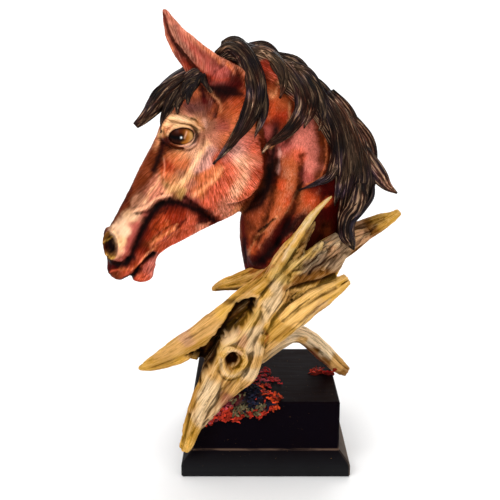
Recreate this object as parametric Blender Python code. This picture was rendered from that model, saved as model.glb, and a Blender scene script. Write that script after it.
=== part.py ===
"""Horse head cast in resin, growing out of a piece of driftwood, on a black stepped plinth.

The head, neck, mane, driftwood and leaf litter are one casting. It stands on the plinth, which
is a piece of its own. X runs from the nose (-X) to the mane (+X), -Y is the side that is seen
first, and the origin is the middle of the plinth's underside.
"""

import math

import bpy
import numpy as np
from mathutils import Vector
from mathutils.bvhtree import BVHTree

# Driving sizes, in metres
FIGURE_HEIGHT = 0.317
PLINTH_HEIGHT = 0.064
BLOCK_WIDTH = 0.124
BLOCK_DEPTH = 0.124
FOOT_WIDTH = 0.142
FOOT_DEPTH = 0.142
FOOT_HEIGHT = 0.011
FLARE_HEIGHT = 0.010
EDGE_ROUND = 0.0012
SEAT_GAP = 0.0003

# The figure is drawn in units of its own height, each close to a millimetre, up from the
# plinth's top. Places that touch the plinth are worked out from the plinth's own sizes.
DRAWN_HEIGHT = 317
UNIT = FIGURE_HEIGHT / DRAWN_HEIGHT
CORNER_X = -BLOCK_WIDTH / 2 / UNIT
CORNER_Y = -BLOCK_DEPTH / 2 / UNIT
LEG_DROP = 0.75 * PLINTH_HEIGHT / UNIT
EDGE_X = BLOCK_WIDTH / 2 / UNIT

VOXEL = 1.7
CASTING_TRIANGLES = 9600
FLESH_ROUNDS = 40
SMOOTH_ROUNDS = 2

# The head is turned a little towards -Y about the poll
HEAD_TURN = math.radians(8)
POLL_X = -10

# Head sections from the poll to the lips: the front edge and the jaw edge in the head's own
# plane (along, up), then half the breadth at five places from the front edge to the jaw
HEAD = (
    ((-34, 283), (4, 262), (10, 18, 22, 22, 16)),
    ((-40, 279), (-1, 256), (16, 23, 25, 25, 20)),
    ((-49, 271), (4, 243), (21, 28, 28, 27, 22)),
    ((-61, 255), (9, 218), (26, 31, 30, 30, 22)),
    ((-73, 239), (13, 192), (28, 30, 28, 31, 21)),
    ((-82, 216), (5, 168), (23, 25, 25, 31, 17)),
    ((-93, 196), (-13, 150), (14, 19, 20, 24, 12)),
    ((-104, 175), (-39, 137.5), (12, 15.5, 17, 16, 9)),
    ((-113, 158), (-60, 127), (11, 14.5, 15, 13, 8)),
    ((-119, 148), (-75, 119.5), (11, 15, 15.5, 12, 8)),
    ((-123.5, 139), (-84, 112), (11, 16.5, 17, 13, 10)),
    ((-128, 124), (-87, 101), (9, 15, 16, 14, 11)),
    ((-126, 108), (-100, 93), (6, 11, 12, 11, 8)),
)
BREADTH_AT = (0.08, 0.28, 0.5, 0.74, 0.94)
SQUARENESS = 0.65

# Neck sections from the poll down to the driftwood, in the plane y = 0: crest edge, throat
# edge and half the breadth at the same five places
NECK = (
    ((-34, 284), (-2, 236), (12, 16, 18, 17, 13)),
    ((-12, 280), (-2, 210), (12, 17, 20, 20, 14)),
    ((17, 261), (-3, 187), (13, 20, 23, 22, 15)),
    ((38, 241), (-13, 168), (14, 22, 26, 24, 15)),
    ((56, 217), (-21, 148), (15, 24, 29, 27, 16)),
    ((68, 191), (-22.5, 128), (16, 26, 32, 30, 18)),
    ((72, 165), (-20, 108), (17, 28, 34, 33, 21)),
    ((70, 142), (-15, 90), (15, 27, 33, 33, 21)),
    ((62, 122), (-2, 80), (8, 18, 23, 23, 14)),
)
# The neck moves to the far side by this much from its top to its foot
NECK_SHIFT = 4
NECK_TOP = 270
NECK_FALL = 120

# Ear rows from the root to the tip: place (x, y, z), half width, half depth and how deep the
# hollow goes, as a share of the width
EAR = (
    (-33, -14, 254, 14, 11, 0.0),
    (-43, -17, 264, 16, 11, 0.1),
    (-50.5, -18, 271, 15, 10, 0.4),
    (-59.5, -19, 280, 13, 8.5, 0.6),
    (-67.5, -20, 289, 11.2, 7.5, 0.65),
    (-73.5, -20, 297.5, 8.4, 6.2, 0.6),
    (-77.5, -20, 307, 5.4, 4.2, 0.4),
    (-81, -19, 316.4, 1.5, 1.6, 0.0),
)
EAR_FACES = math.radians(-42)
EAR_HOLLOW = 1.35
EAR_OPEN = 0.62
FAR_EAR_SIZE = 0.94

# Balls in the head's plane, on both sides of it: (along, out, up), half sizes, tilt
HEAD_LUMPS = (
    ((-26, 15, 192), (34, 15.5, 32), 24),
    ((-59, 14, 220), (19, 14.4, 16.5), 20),
    ((-121, 8, 124), (8, 10, 15), -8),
    ((-97, 3, 101), (11, 9, 8.5), 10),
    ((-116, 4, 105), (11, 9, 11), -20),
)

# Raised and sunk lines on both sides of the head, in its own plane: points, half width of the
# line, height over the skin and the least distance out from the head's plane
HEAD_LINES = (
    (((-52, 233), (-59, 235), (-68, 232), (-75, 226)), 4, 1.6, 12),
    (((-72, 216), (-66, 224), (-58, 224.5), (-52, 219)), 2.6, 1.6, 12),
    (((-72, 215), (-66, 211), (-58, 211.5), (-52, 218)), 2.6, 1.3, 12),
    (((-44, 202), (-54, 190), (-66, 176), (-76, 168)), 6, 2.2, 10),
    (((-70, 200), (-80, 182), (-92, 166)), 7, -1.6, 6),
    (((-61, 166), (-52, 158), (-40, 148)), 8, -1.8, 4),
    (((-103, 155), (-93, 159), (-84, 164), (-73, 168)), 4, 1.4, 8),
    (((-80, 160), (-90, 147), (-99, 130), (-106, 117)), 5, -1.6, 6),
    (((-129, 116), (-122, 110), (-112, 109), (-106, 114)), 3, -1.8, 4),
    (((-111, 97), (-106, 98), (-101, 102), (-95, 108), (-91, 116)), 3.2, -2.2, 0),
    (((-126, 136), (-121, 136.5), (-117.5, 130), (-117.5, 121), (-121, 115)), 2.8, 1.2, 8),
    (((-122, 117), (-127, 117), (-130, 122)), 2.6, 1.2, 8),
    (((-60, 262), (-50, 248), (-38, 240)), 9, -1.6, 10),
)
# Where the head's own skin ends: back, down and out, and the corner that is throat
JAW_BACK = 6
CHIN_LOW = 88
HEAD_OUT = 40
THROAT = (-30, 140)
SIDE_OUT = 8

# Each nostril is a pit: centre in the head's plane, half sizes, depth and the share of its
# reach that its walls take
NOSTRIL = ((-123.5, 126.5), (6.0, 11.2), 5.2, 0.65)
# Each eye is a ball set in the skin: centre in the head's plane, half opening, how far out its
# middle stands from the head's plane and the ball's radius
EYE = ((-62.2, 217.8), (10.4, 7.0), 28.4, 13)
EYE_TILT = math.radians(8)

# Raised and sunk lines on the near side of the neck: points (x, z), half width, height, and
# between which depths that skin lies
NECK_LINES = (
    (((8, 196), (5, 172), (0, 150), (-7, 130)), 7, -3.0),
    (((20, 186), (14, 160), (2, 132), (-10, 108)), 9, 2.4),
    (((30, 200), (28, 176), (20, 150), (10, 128)), 6, -1.8),
    (((-13, 118), (-6, 108), (4, 104)), 5, 2.4),
    (((44, 172), (30, 152), (16, 134)), 7, 2.0),
    (((50, 140), (44, 120), (38, 104)), 7, -2.4),
    (((18, 256), (24, 236), (20, 216), (8, 204)), 6, -1.6),
)
NECK_NEAR = (-8, -34)

# The mane lies along the crest as one body: (x, y, z), half width in the side view, half depth
MANE_BODY = (
    (-40, -2, 276, 4, 8),
    (-27, -1, 282, 9, 13),
    (-5, 0, 274, 10, 15),
    (13, 0, 263, 10, 16),
    (30, 0, 249, 10, 17),
    (45, 1, 236, 11, 18),
    (58, 2, 219, 12, 19),
    (69, 3, 202, 13, 19),
    (76, 4, 185, 13, 18),
    (80, 3, 171, 12, 16),
    (76, 0, 158, 9, 14),
    (71, -4, 145, 6, 11),
    (71, -9, 131, 4, 7),
    (74, -12, 119, 1.6, 2.5),
)
# Locks of the near side, root to tip: points (x, z) in the side view, half width at the
# fullest, thickness and how proud the lock lies
NEAR_LOCKS = (
    (((-40, 282), (-30, 287), (-20, 280), (-13, 262), (-13, 242), (-19, 225),
      (-29, 210), (-39, 199)), 6.5, 4.5, 3),
    (((-33, 288), (-22, 289), (-12, 276), (-5, 258), (-5, 239), (-12, 222),
      (-21, 211), (-28, 205)), 6.5, 4.5, 4),
    (((-26, 291), (-15, 287), (-7, 272), (0, 254), (2, 236), (-2, 222), (-8, 212)), 5.5, 4.0, 2),
    (((-15, 283), (-4, 282.5), (6, 275), (11, 266), (12, 256), (9, 246)), 6.0, 4.5, 3),
    (((2, 280), (13, 273), (22, 262), (28, 251), (29, 239), (23, 227),
      (13, 217), (3, 210), (-4, 202)), 6.0, 4.5, 4),
    (((8, 275), (21, 270), (31, 259), (37, 247), (36, 234), (31, 222)), 6.0, 4.5, 3),
    (((22, 273), (34, 264), (43, 248), (47, 233), (44, 220)), 6.0, 4.5, 2),
    (((33, 260), (46, 244), (54, 224), (55, 205), (52, 190), (42, 177), (27, 170)), 5.5, 4.5, 3),
    (((41, 254), (55, 235), (62, 213), (64, 191), (62, 172), (58, 157)), 6.5, 4.5, 3),
    (((50, 250), (63, 231), (71, 208), (73, 185), (69, 162), (65, 142), (70, 124)), 7.0, 5.0, 4),
    (((60, 236), (72, 218), (79, 199), (81, 180), (77, 160), (72, 143), (72, 124)), 7.0, 5.0, 3),
    (((69, 223), (80, 208), (86, 192), (86, 174), (79, 156), (74, 143), (74, 128)), 5.5, 4.5, 2),
)
# Locks of the far side, which nobody sees from the front
FAR_LOCKS = (
    (((-36, 288), (-24, 288), (-14, 268), (-14, 246), (-22, 226)), 7.5, 4.5, 3),
    (((-14, 287), (0, 284), (10, 266), (10, 244), (2, 224)), 7.5, 4.5, 3),
    (((10, 280), (26, 272), (36, 252), (36, 228), (28, 208)), 7.5, 4.5, 3),
    (((34, 264), (50, 248), (60, 226), (60, 200), (50, 180)), 7.5, 4.5, 3),
    (((54, 250), (70, 230), (78, 206), (76, 180), (66, 158)), 7.5, 4.5, 3),
    (((72, 230), (86, 210), (90, 188), (84, 166), (74, 146)), 7.0, 4.5, 3),
)
# How full a lock is at its root, and how its fullness falls off to the tip
LOCK_ROOT = 0.16
LOCK_TAPER = 0.7
LOCK_LEAST = 0.1
LAY_WINDOW = 5
# The lock that flies free at the nape: (x, y, z), half width, half depth
FLYING_LOCK = (
    (80, -4, 203, 7, 6),
    (89, -8, 192, 7, 5),
    (96, -11, 182, 6.5, 4.5),
    (102, -13, 174, 4, 3),
    (110.5, -14, 168, 0.8, 0.8),
)
# The forelock between the ears and over the brow: (x, y, z), half width, half depth
FORELOCK = (
    ((-38, -3, 267, 7, 12), (-52, -5, 266.5, 7.5, 13), (-67.5, -8, 261, 8.5, 13), (-82, -12, 251, 8, 10),
     (-92, -15, 240, 6.4, 7), (-99.5, -17, 231.5, 4.4, 4.5), (-107, -18, 224.8, 2.6, 2.4)),
    ((-46, -12, 266, 5, 5), (-58, -16, 258, 6, 5), (-68, -19, 247, 6, 5), (-76, -20, 236, 5, 4.5),
     (-82, -20, 226, 3.5, 3.5), (-84, -20, 217, 1, 1)),
    ((-44, -14, 266, 4, 4), (-50, -19, 259, 4.5, 4), (-57, -23, 250, 4, 4), (-62, -25, 242, 1.5, 1.5)),
    ((-42, 8, 266, 6, 6), (-56, 10, 260, 7, 6), (-70, 9, 248, 7, 6), (-80, 5, 234, 5, 5),
     (-86, 2, 222, 1.5, 1.5)),
)

# Driftwood limbs: (x, y, z), half width in the side view, half depth. The front leg hangs
# over the plinth's corner and the rear leg ends on the plinth's edge.
LIMBS = {
    "front leg": (
        (CORNER_X - 5, CORNER_Y - 9, -LEG_DROP, 2.5, 2.5),
        (CORNER_X - 4, CORNER_Y - 11, -0.85 * LEG_DROP, 6, 5),
        (CORNER_X - 1, CORNER_Y - 10, -0.56 * LEG_DROP, 9, 7),
        (CORNER_X + 7, CORNER_Y - 5, -0.21 * LEG_DROP, 12, 10),
        (CORNER_X + 20, CORNER_Y + 4, 11, 16, 13),
        (-27, -50, 33, 19, 14), (-14, -43, 52, 15, 13), (-1, -38, 72, 13, 13), (14, -34, 94, 12, 12),
        (29, -32, 112, 9, 9)),
    "left blade": (
        (-109, -34, 18.5, 2, 2), (-98, -36, 23, 6, 4), (-81, -40, 33, 9.5, 5.5), (-64, -43, 45, 11.5, 6),
        (-47, -44, 57.5, 11.5, 6.5), (-30, -41, 71, 10, 8), (-10, -35, 86, 11, 10), (12, -28, 100, 12, 12)),
    "web under the blade": (
        (-68, -34, 33, 3.5, 4), (-56, -31, 33, 8, 5), (-46, -27, 34, 12, 6), (-34, -23, 46, 13, 7),
        (-18, -22, 62, 13, 9)),
    "little finger": (
        (-46.5, -6, 81.5, 2, 2), (-37, -7, 85, 5, 4), (-24, -8, 89, 7, 7), (-9, -10, 94, 9, 10),
        (8, -14, 103, 12, 12)),
    "trunk": (
        (-42, -36, 8, 12, 10), (-32, -28, 24, 14, 12), (-18, -20, 42, 16, 13), (-2, -14, 62, 19, 16),
        (16, -10, 83, 23, 23), (34, -7, 101, 24, 28), (51, -2, 115, 19, 25), (64, 2, 126, 12, 15)),
    "spike on the neck": (
        (0, -34, 90, 8, 7), (13, -37, 116, 7.5, 6), (27, -40, 137, 5.5, 4.5), (41, -40, 157, 4, 3.5),
        (54, -36, 170, 1.2, 1.2)),
    "second spike": (
        (12, -35, 90, 10, 8), (26, -39, 109, 9, 6), (38, -40, 122, 5, 4), (47, -39, 132, 1.6, 1.6)),
    "slab beside the spikes": (
        (22, -30, 84, 8, 8), (38, -32, 101, 12, 8), (54, -30, 116, 12, 8), (66, -26, 127, 7, 7)),
    "broken branch": (
        (-10, -44, 38, 9, 9), (8, -44, 56, 10, 10), (26, -42, 71, 11, 10), (44, -39, 84, 9, 9),
        (58, -36, 92, 7, 7), (69, -33, 98.5, 5, 5)),
    "lower lip of the break": (
        (10, -42, 52, 8, 7), (26, -41, 64, 7, 7), (40, -38, 74, 6, 6), (54, -35, 82, 4.5, 4)),
    "rear leg": (
        (-8, -30, 28, 8, 10), (12, -20, 40, 8, 9), (29, -8, 41, 8, 9), (43, 0, 30, 8, 9),
        (EDGE_X - 5, 6, 15, 8, 8), (EDGE_X + 6, 10, 3, 7, 6), (EDGE_X + 14.5, 11, -3, 5, 4)),
    "far branch": (
        (44, 0, 104, 11, 12), (65, 3, 114, 12.5, 11), (84, 3, 126.5, 10.5, 8), (99, 0, 136.5, 8, 6),
        (109, -3, 145, 5, 4), (117, -5, 152, 1.8, 1.8)),
    "heel under the neck": (
        (-18, -6, 84, 7, 10), (0, 2, 87, 12, 16), (22, 9, 95, 14, 20), (44, 12, 110, 14, 19),
        (60, 10, 124, 8, 12)),
    "buttress beside the knot": (
        (-4, -43, 58, 7, 8), (-7, -50, 38, 7.5, 8), (-12, -54, 22, 8, 8), (-22, -58, 8, 8.5, 8),
        (CORNER_X + 26, CORNER_Y - 1, -8, 7, 6), (CORNER_X + 14, CORNER_Y - 5, -22, 4, 4)),
    "blade on the far side": (
        (-26, -14, 58, 8, 8), (-6, 6, 78, 12, 10), (16, 24, 98, 13, 9), (38, 35, 122, 11, 6),
        (54, 38, 144, 7, 4.5), (66, 37, 164, 1.5, 1.5)),
    "root on the far side": (
        (4, -10, 66, 12, 12), (-10, 4, 46, 11, 11), (-22, 16, 26, 10, 10), (-31, 25, 10, 9, 9),
        (-38, 31, -4, 7, 8)),
}
FLUTES = 6
FLUTE_DEPTH = 0.10
FLUTE_TWIST = 0.035
LUMP_DEPTH = 0.06
LUMP_TWIST = 0.09
PHASE_STEP = 1.7

# The hollow between the left blade and the front leg: points (x, z), half width, how far it is
# sunk and how far forward the wood is that sinks
HOLLOW = ((-51, 34), (-42, 44), (-32, 56), (-21, 69), (-12, 78))
HOLLOW_WIDTH = 8.0
HOLLOW_DEPTH = 13.0
HOLLOW_FRONT = -24

# The knot low on the front leg: centre, ring radius, thickness of the rim, hole radius, depth
KNOT = (-27, -62, 38)
KNOT_RADIUS = 9.5
KNOT_RIM = 3.0
KNOT_HOLE = 7.2
KNOT_DEPTH = 9.6
KNOT_REACH = 12
KNOT_STRETCH = 1.25

# Leaf litter: heaps on the plinth's top (way in from its front corner, half sizes), heaps down
# its front face (way in from the corner, z, half sizes) and one by the rear foot
LITTER_TOP = (
    (24, 6, 18, 11, 6), (44, 9, 17, 13, 5.5), (62, 9, 14, 11, 4.5), (50, 22, 12, 12, 4.5),
    (72, 9, 7, 7, 3),
)
LITTER_FRONT = (
    (16, -12, 9, 4, 12), (28, -8, 10, 4, 11), (42, -6, 11, 4, 9), (56, -6, 10, 3.5, 8), (68, -3, 8, 3, 5),
)
LITTER_REAR = ((EDGE_X - 13, 3, 7, 6, 2.5), (EDGE_X - 4, -1, 5, 4, 2.2), (EDGE_X - 17, -3, 4, 3, 1.8))
LEAVES = 34
LEAVES_REAR = 12
LEAF = (4.6, 2.8, 1.5)
# Leaves lie between these shares of a heap's reach, at this share of its height
LEAF_SPREAD = (0.35, 0.95)
LEAF_HEIGHT = 0.8
GOLDEN_TURN = math.pi * (3 - math.sqrt(5))


def curve_rows(rows, steps):
    """Rows along a smooth curve through the given rows, with so many steps between two rows."""
    rows = np.asarray(rows, float)
    padded = np.vstack((2 * rows[0] - rows[1], rows, 2 * rows[-1] - rows[-2]))
    out = []
    for i in range(len(rows) - 1):
        a, b, c, d = padded[i:i + 4]
        for t in np.linspace(0, 1, steps, endpoint=False):
            out.append(0.5 * (2 * b + (c - a) * t + (2 * a - 5 * b + 4 * c - d) * t ** 2
                              + (3 * b - a - 3 * c + d) * t ** 3))
    out.append(rows[-1])
    return np.array(out)


def skin(rings):
    """Points and faces of a closed body over rings of equal length."""
    rings = np.asarray(rings)
    count, sides = rings.shape[:2]
    points = np.vstack((rings.reshape(-1, 3), rings[0].mean(axis=0), rings[-1].mean(axis=0)))
    first, last = count * sides, count * sides + 1
    faces = []
    for i in range(count - 1):
        for j in range(sides):
            k = (j + 1) % sides
            faces.append((i * sides + j, i * sides + k, (i + 1) * sides + k, (i + 1) * sides + j))
    for j in range(sides):
        k = (j + 1) % sides
        faces.append((first, k, j))
        faces.append((last, (count - 1) * sides + j, (count - 1) * sides + k))
    return points, faces


def head_to_figure(along, out, up):
    """A place in the head's own plane, and out from it towards -Y, in the figure's axes."""
    along, out = np.asarray(along, float), np.asarray(out, float)
    x = POLL_X + along * math.cos(HEAD_TURN) + out * math.sin(HEAD_TURN)
    y = along * math.sin(HEAD_TURN) - out * math.cos(HEAD_TURN)
    return np.stack((x, y, np.broadcast_to(np.asarray(up, float), x.shape)), axis=-1)


def figure_to_head(points):
    """The way back: along, out and up for points in the figure's axes."""
    x, y = points[:, 0] - POLL_X, points[:, 1]
    along = x * math.cos(HEAD_TURN) + y * math.sin(HEAD_TURN)
    out = x * math.sin(HEAD_TURN) - y * math.cos(HEAD_TURN)
    return along, out, points[:, 2]


def slab(stations, place, sides=28, steps=4):
    """A body over sections that stand across one plane, such as the head's or the neck's."""
    rows = curve_rows([(*top, *low, *breadths) for top, low, breadths in stations], steps)
    angles = np.linspace(0, 2 * math.pi, sides, endpoint=False)
    share = (1 - np.cos(angles)) / 2
    round_off = np.sign(np.sin(angles)) * np.abs(np.sin(angles)) ** SQUARENESS
    rings = []
    for row in rows:
        half = np.interp(share, BREADTH_AT, row[4:9]) * round_off
        rings.append(place(row[0] + (row[2] - row[0]) * share, half, row[1] + (row[3] - row[1]) * share))
    return skin(rings)


def neck_place(x, out, z):
    """A place in the neck's plane, which moves to the far side as the neck widens downwards."""
    shift = NECK_SHIFT * np.clip((NECK_TOP - z) / NECK_FALL, 0, 1)
    return np.stack((x, shift - out, z), axis=-1)


def limb(rows, steps=4, sides=24, flute=0.0, lump=0.0, phase=0.0):
    """A tapering body along (x, y, z, half width, half depth), fluted like old wood if asked."""
    rows = curve_rows(rows, steps)
    centres = rows[:, :3]
    angles = np.linspace(0, 2 * math.pi, sides, endpoint=False)
    heading = np.gradient(centres, axis=0)
    heading /= np.linalg.norm(heading, axis=1)[:, None]
    travelled = np.concatenate(([0], np.cumsum(np.linalg.norm(np.diff(centres, axis=0), axis=1))))
    rings = []
    for centre, ahead, row, far in zip(centres, heading, rows, travelled):
        across = np.cross(ahead, (0, 1, 0))
        across /= np.linalg.norm(across)
        deep = np.cross(across, ahead)
        swell = 1 + flute * np.cos(FLUTES * angles + far * FLUTE_TWIST + phase)
        swell += lump * np.sin(2 * angles - far * LUMP_TWIST + 2 * phase)
        rings.append(centre + np.outer(np.cos(angles) * swell * row[3], across)
                     + np.outer(np.sin(angles) * swell * row[4], deep))
    return skin(rings)


def ball(centre, radii, tilt=0.0, rounds=8, sides=14):
    """An egg-shaped lump, tilted about Y by so many degrees."""
    angles = np.linspace(0, 2 * math.pi, sides, endpoint=False)
    c, s = math.cos(math.radians(tilt)), math.sin(math.radians(tilt))
    rings = []
    for level in np.linspace(0, math.pi, rounds + 2)[1:-1]:
        x = radii[0] * np.sin(level) * np.cos(angles)
        y = radii[1] * np.sin(level) * np.sin(angles)
        z = np.full(sides, radii[2] * math.cos(level))
        rings.append(np.stack((x * c + z * s, y, z * c - x * s), axis=-1) + centre)
    return skin(rings[::-1])


def ear(size, mirrored):
    """An upright ear with its hollow facing forwards and out, root to tip."""
    rows = curve_rows(EAR, 4)
    root = rows[0, :3].copy()
    rows[:, :3] = root + (rows[:, :3] - root) * size
    angles = np.linspace(0, 2 * math.pi, 24, endpoint=False)
    heading = np.gradient(rows[:, :3], axis=0)
    heading /= np.linalg.norm(heading, axis=1)[:, None]
    rings = []
    for row, ahead in zip(rows, heading):
        across = np.cross(ahead, (0, 1, 0))
        across /= np.linalg.norm(across)
        deep = np.cross(across, ahead)
        off = np.angle(np.exp(1j * (angles - EAR_FACES)))
        hollow = 1 - row[5] * EAR_HOLLOW * np.exp(-(off / EAR_OPEN) ** 2)
        ring = row[:3] + np.outer(np.cos(angles) * hollow * row[3] * size, across)
        ring = ring + np.outer(np.sin(angles) * hollow * row[4] * size, deep)
        rings.append(ring)
    points, faces = skin(rings)
    if mirrored:
        along, out, up = figure_to_head(points)
        points = head_to_figure(along, -out, up)
        faces = [face[::-1] for face in faces]
    return points, faces


def gather(bodies):
    """One list of points and faces from several closed bodies."""
    points, faces, base = [], [], 0
    for body_points, body_faces in bodies:
        points.append(body_points)
        faces.extend(tuple(base + i for i in face) for face in body_faces)
        base += len(body_points)
    return np.vstack(points), faces


def mesh_from(name, points, faces):
    mesh = bpy.data.meshes.new(name)
    mesh.from_pydata(np.asarray(points).tolist(), [], [tuple(face) for face in faces])
    mesh.update()
    return mesh


def points_of(mesh):
    flat = np.empty(len(mesh.vertices) * 3, np.float32)
    mesh.vertices.foreach_get("co", flat)
    return flat.reshape(-1, 3).astype(float)


def with_modifier(mesh, kind, **settings):
    """The mesh as it is after one modifier."""
    carrier = bpy.data.objects.new("carrier", mesh)
    bpy.context.scene.collection.objects.link(carrier)
    modifier = carrier.modifiers.new(kind, kind)
    for key, value in settings.items():
        setattr(modifier, key, value)
    bpy.context.view_layer.update()
    result = bpy.data.meshes.new_from_object(carrier.evaluated_get(bpy.context.evaluated_depsgraph_get()))
    bpy.data.objects.remove(carrier)
    return result


def relax(mesh, points, rounds, inward=-0.53, outward=0.5):
    """Smooth without shrinking: each round moves points to their neighbours' mean and part back."""
    edges = np.empty(len(mesh.edges) * 2, np.int32)
    mesh.edges.foreach_get("vertices", edges)
    a, b = edges.reshape(-1, 2).T
    degree = np.bincount(np.concatenate((a, b)), minlength=len(points))[:, None]
    count = len(points)
    for _ in range(rounds):
        for amount in (outward, inward):
            total = np.zeros_like(points)
            for k in range(3):
                total[:, k] = np.bincount(a, points[b, k], count) + np.bincount(b, points[a, k], count)
            points = points + amount * (total / degree - points)
    return points


def hump(gap, width):
    """One in the middle of a line and next to nothing past its half width."""
    return np.exp(-2 * (gap / width) ** 2)


def distance_to_line(places, line):
    """Distance of each place to a line of points, in as many dimensions as both have."""
    best = np.full(len(places), 1e9)
    for start, end in zip(line[:-1], line[1:]):
        run = end - start
        share = np.clip((places - start) @ run / max(run @ run, 1e-9), 0, 1)
        best = np.minimum(best, np.linalg.norm(places - start - share[:, None] * run, axis=1))
    return best


def normals_of(mesh, points):
    mesh.vertices.foreach_set("co", points.astype(np.float32).ravel())
    mesh.update()
    flat = np.empty(len(points) * 3, np.float32)
    mesh.vertex_normals.foreach_get("vector", flat)
    return flat.reshape(-1, 3).astype(float)


def carve(mesh, points):
    """Draw the raised and sunk lines of the head and neck, the nostrils, the eyes and the knot."""
    normals = normals_of(mesh, points)
    along, out, up = figure_to_head(points)
    flat = np.stack((along, up), axis=-1)
    in_head = (along < JAW_BACK) & (np.abs(out) < HEAD_OUT) & (up > CHIN_LOW)
    in_head &= (along < THROAT[0]) | (up > THROAT[1])
    lift = np.zeros(len(points))
    for line, width, height, least_out in HEAD_LINES:
        path = curve_rows(line, 3)
        near = in_head & (np.abs(out) > least_out)
        gap = distance_to_line(flat[near], path)
        lift[near] += height * hump(gap, width)
    side = np.stack((points[:, 0], points[:, 2]), axis=-1)
    for line, width, height in NECK_LINES:
        near = (points[:, 1] < NECK_NEAR[0]) & (points[:, 1] > NECK_NEAR[1])
        gap = distance_to_line(side[near], curve_rows(line, 3))
        lift[near] += height * hump(gap, width)
    points = points + normals * lift[:, None]

    along, out, up = figure_to_head(points)
    hand = np.sign(out)
    centre, half, depth, wall = NOSTRIL
    reach = np.hypot((along - centre[0]) / half[0], (up - centre[1]) / half[1])
    pit = in_head & (np.abs(out) > SIDE_OUT)
    out = np.where(pit, out - hand * depth * np.clip((1 - reach) / wall, 0, 1), out)
    centre, half, front, radius = EYE
    c, s = math.cos(EYE_TILT), math.sin(EYE_TILT)
    da, du = along - centre[0], up - centre[1]
    reach = np.hypot((da * c + du * s) / half[0], (du * c - da * s) / half[1])
    ball_out = front - radius + np.sqrt(np.clip(radius ** 2 - da ** 2 - du ** 2, 0, None))
    inside = in_head & (np.abs(out) > SIDE_OUT) & (reach < 1)
    out = np.where(inside, hand * ball_out, out)
    points = head_to_figure(along, out, up)

    from_knot = points - np.array(KNOT)
    around = np.hypot(from_knot[:, 0], from_knot[:, 2])
    hole = np.abs(from_knot[:, 1]) < KNOT_REACH
    points[hole, 1] += KNOT_DEPTH * np.clip(1 - around[hole] / KNOT_HOLE, 0, 1)
    gap = distance_to_line(np.stack((points[:, 0], points[:, 2]), axis=-1), curve_rows(HOLLOW, 3))
    points[:, 1] += np.where(points[:, 1] < HOLLOW_FRONT, HOLLOW_DEPTH * hump(gap, HOLLOW_WIDTH), 0)
    return points


def drape(tree, path, near):
    """Lay (x, z) points on the neck or head from one side; return their y."""
    side = -1 if near else 1
    found = []
    for x, z in path:
        hit = tree.ray_cast(Vector((x, side * DRAWN_HEIGHT, z)), Vector((0, -side, 0)))[0]
        found.append(None if hit is None else hit.y)
    known = [i for i, y in enumerate(found) if y is not None]
    return np.interp(range(len(path)), known, [found[i] for i in known])


def lock(tree, line, width, thickness, proud, near=True):
    """A lock of mane lying on what is under it, full in the middle and pointed at the tip."""
    path = curve_rows(line, 4)
    y = drape(tree, path, near)
    padded = np.pad(y, LAY_WINDOW // 2, mode="edge")
    y = np.convolve(padded, np.ones(LAY_WINDOW) / LAY_WINDOW, mode="valid")
    share = np.linspace(0, 1, len(path))
    swell = np.sin(math.pi * (LOCK_ROOT + (1 - LOCK_ROOT) * share))
    fullness = np.clip(swell, LOCK_LEAST, 1) ** LOCK_TAPER
    lifted = y + (-proud if near else proud) * np.sqrt(np.sin(math.pi * share))
    rows = np.column_stack((path[:, 0], lifted, path[:, 1], width * fullness, thickness * fullness))
    return limb(rows, steps=1, sides=10)


def head_and_neck():
    """The bare head and neck, without mane or ears."""
    bodies = [slab(HEAD, head_to_figure), slab(NECK, neck_place)]
    for (along, out, up), radii, tilt in HEAD_LUMPS:
        for side in (1, -1):
            bodies.append(ball(head_to_figure(along, out * side, up), radii, tilt))
    return bodies


def fuse(points, faces, rounds):
    """One smoothed skin over closed bodies that run into each other."""
    fused = with_modifier(mesh_from("fused", points, faces), "REMESH", mode="VOXEL", voxel_size=VOXEL)
    return fused, relax(fused, points_of(fused), rounds)


def mane(tree):
    """The locks of the mane on both sides, the flying lock, the forelock and the ears."""
    bodies = [ear(1.0, False), ear(FAR_EAR_SIZE, True), limb(FLYING_LOCK, sides=10)]
    bodies += [lock(tree, *row) for row in NEAR_LOCKS]
    bodies += [lock(tree, *row, near=False) for row in FAR_LOCKS]
    bodies += [limb(rows, sides=12) for rows in FORELOCK]
    return bodies


def knot_rim():
    """The raised ring around the hole where a branch broke off."""
    angles = np.linspace(0, 2 * math.pi, 24, endpoint=False)
    tube = np.linspace(0, 2 * math.pi, 8, endpoint=False)
    points, faces = [], []
    for a in angles:
        for b in tube:
            reach = KNOT_RADIUS + KNOT_RIM * math.cos(b)
            points.append((KNOT[0] + reach * math.cos(a), KNOT[1] + 1 + KNOT_RIM * math.sin(b),
                           KNOT[2] + KNOT_STRETCH * reach * math.sin(a)))
    for i in range(24):
        for j in range(8):
            k, m = (i + 1) % 24, (j + 1) % 8
            faces.append((i * 8 + j, i * 8 + m, k * 8 + m, k * 8 + j))
    return np.array(points), faces


def driftwood():
    """The limbs of the driftwood, fluted along their length."""
    bodies = []
    for number, rows in enumerate(LIMBS.values()):
        bodies.append(limb(rows, flute=FLUTE_DEPTH, lump=LUMP_DEPTH, phase=PHASE_STEP * number))
    bodies.append(knot_rim())
    return bodies


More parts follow.
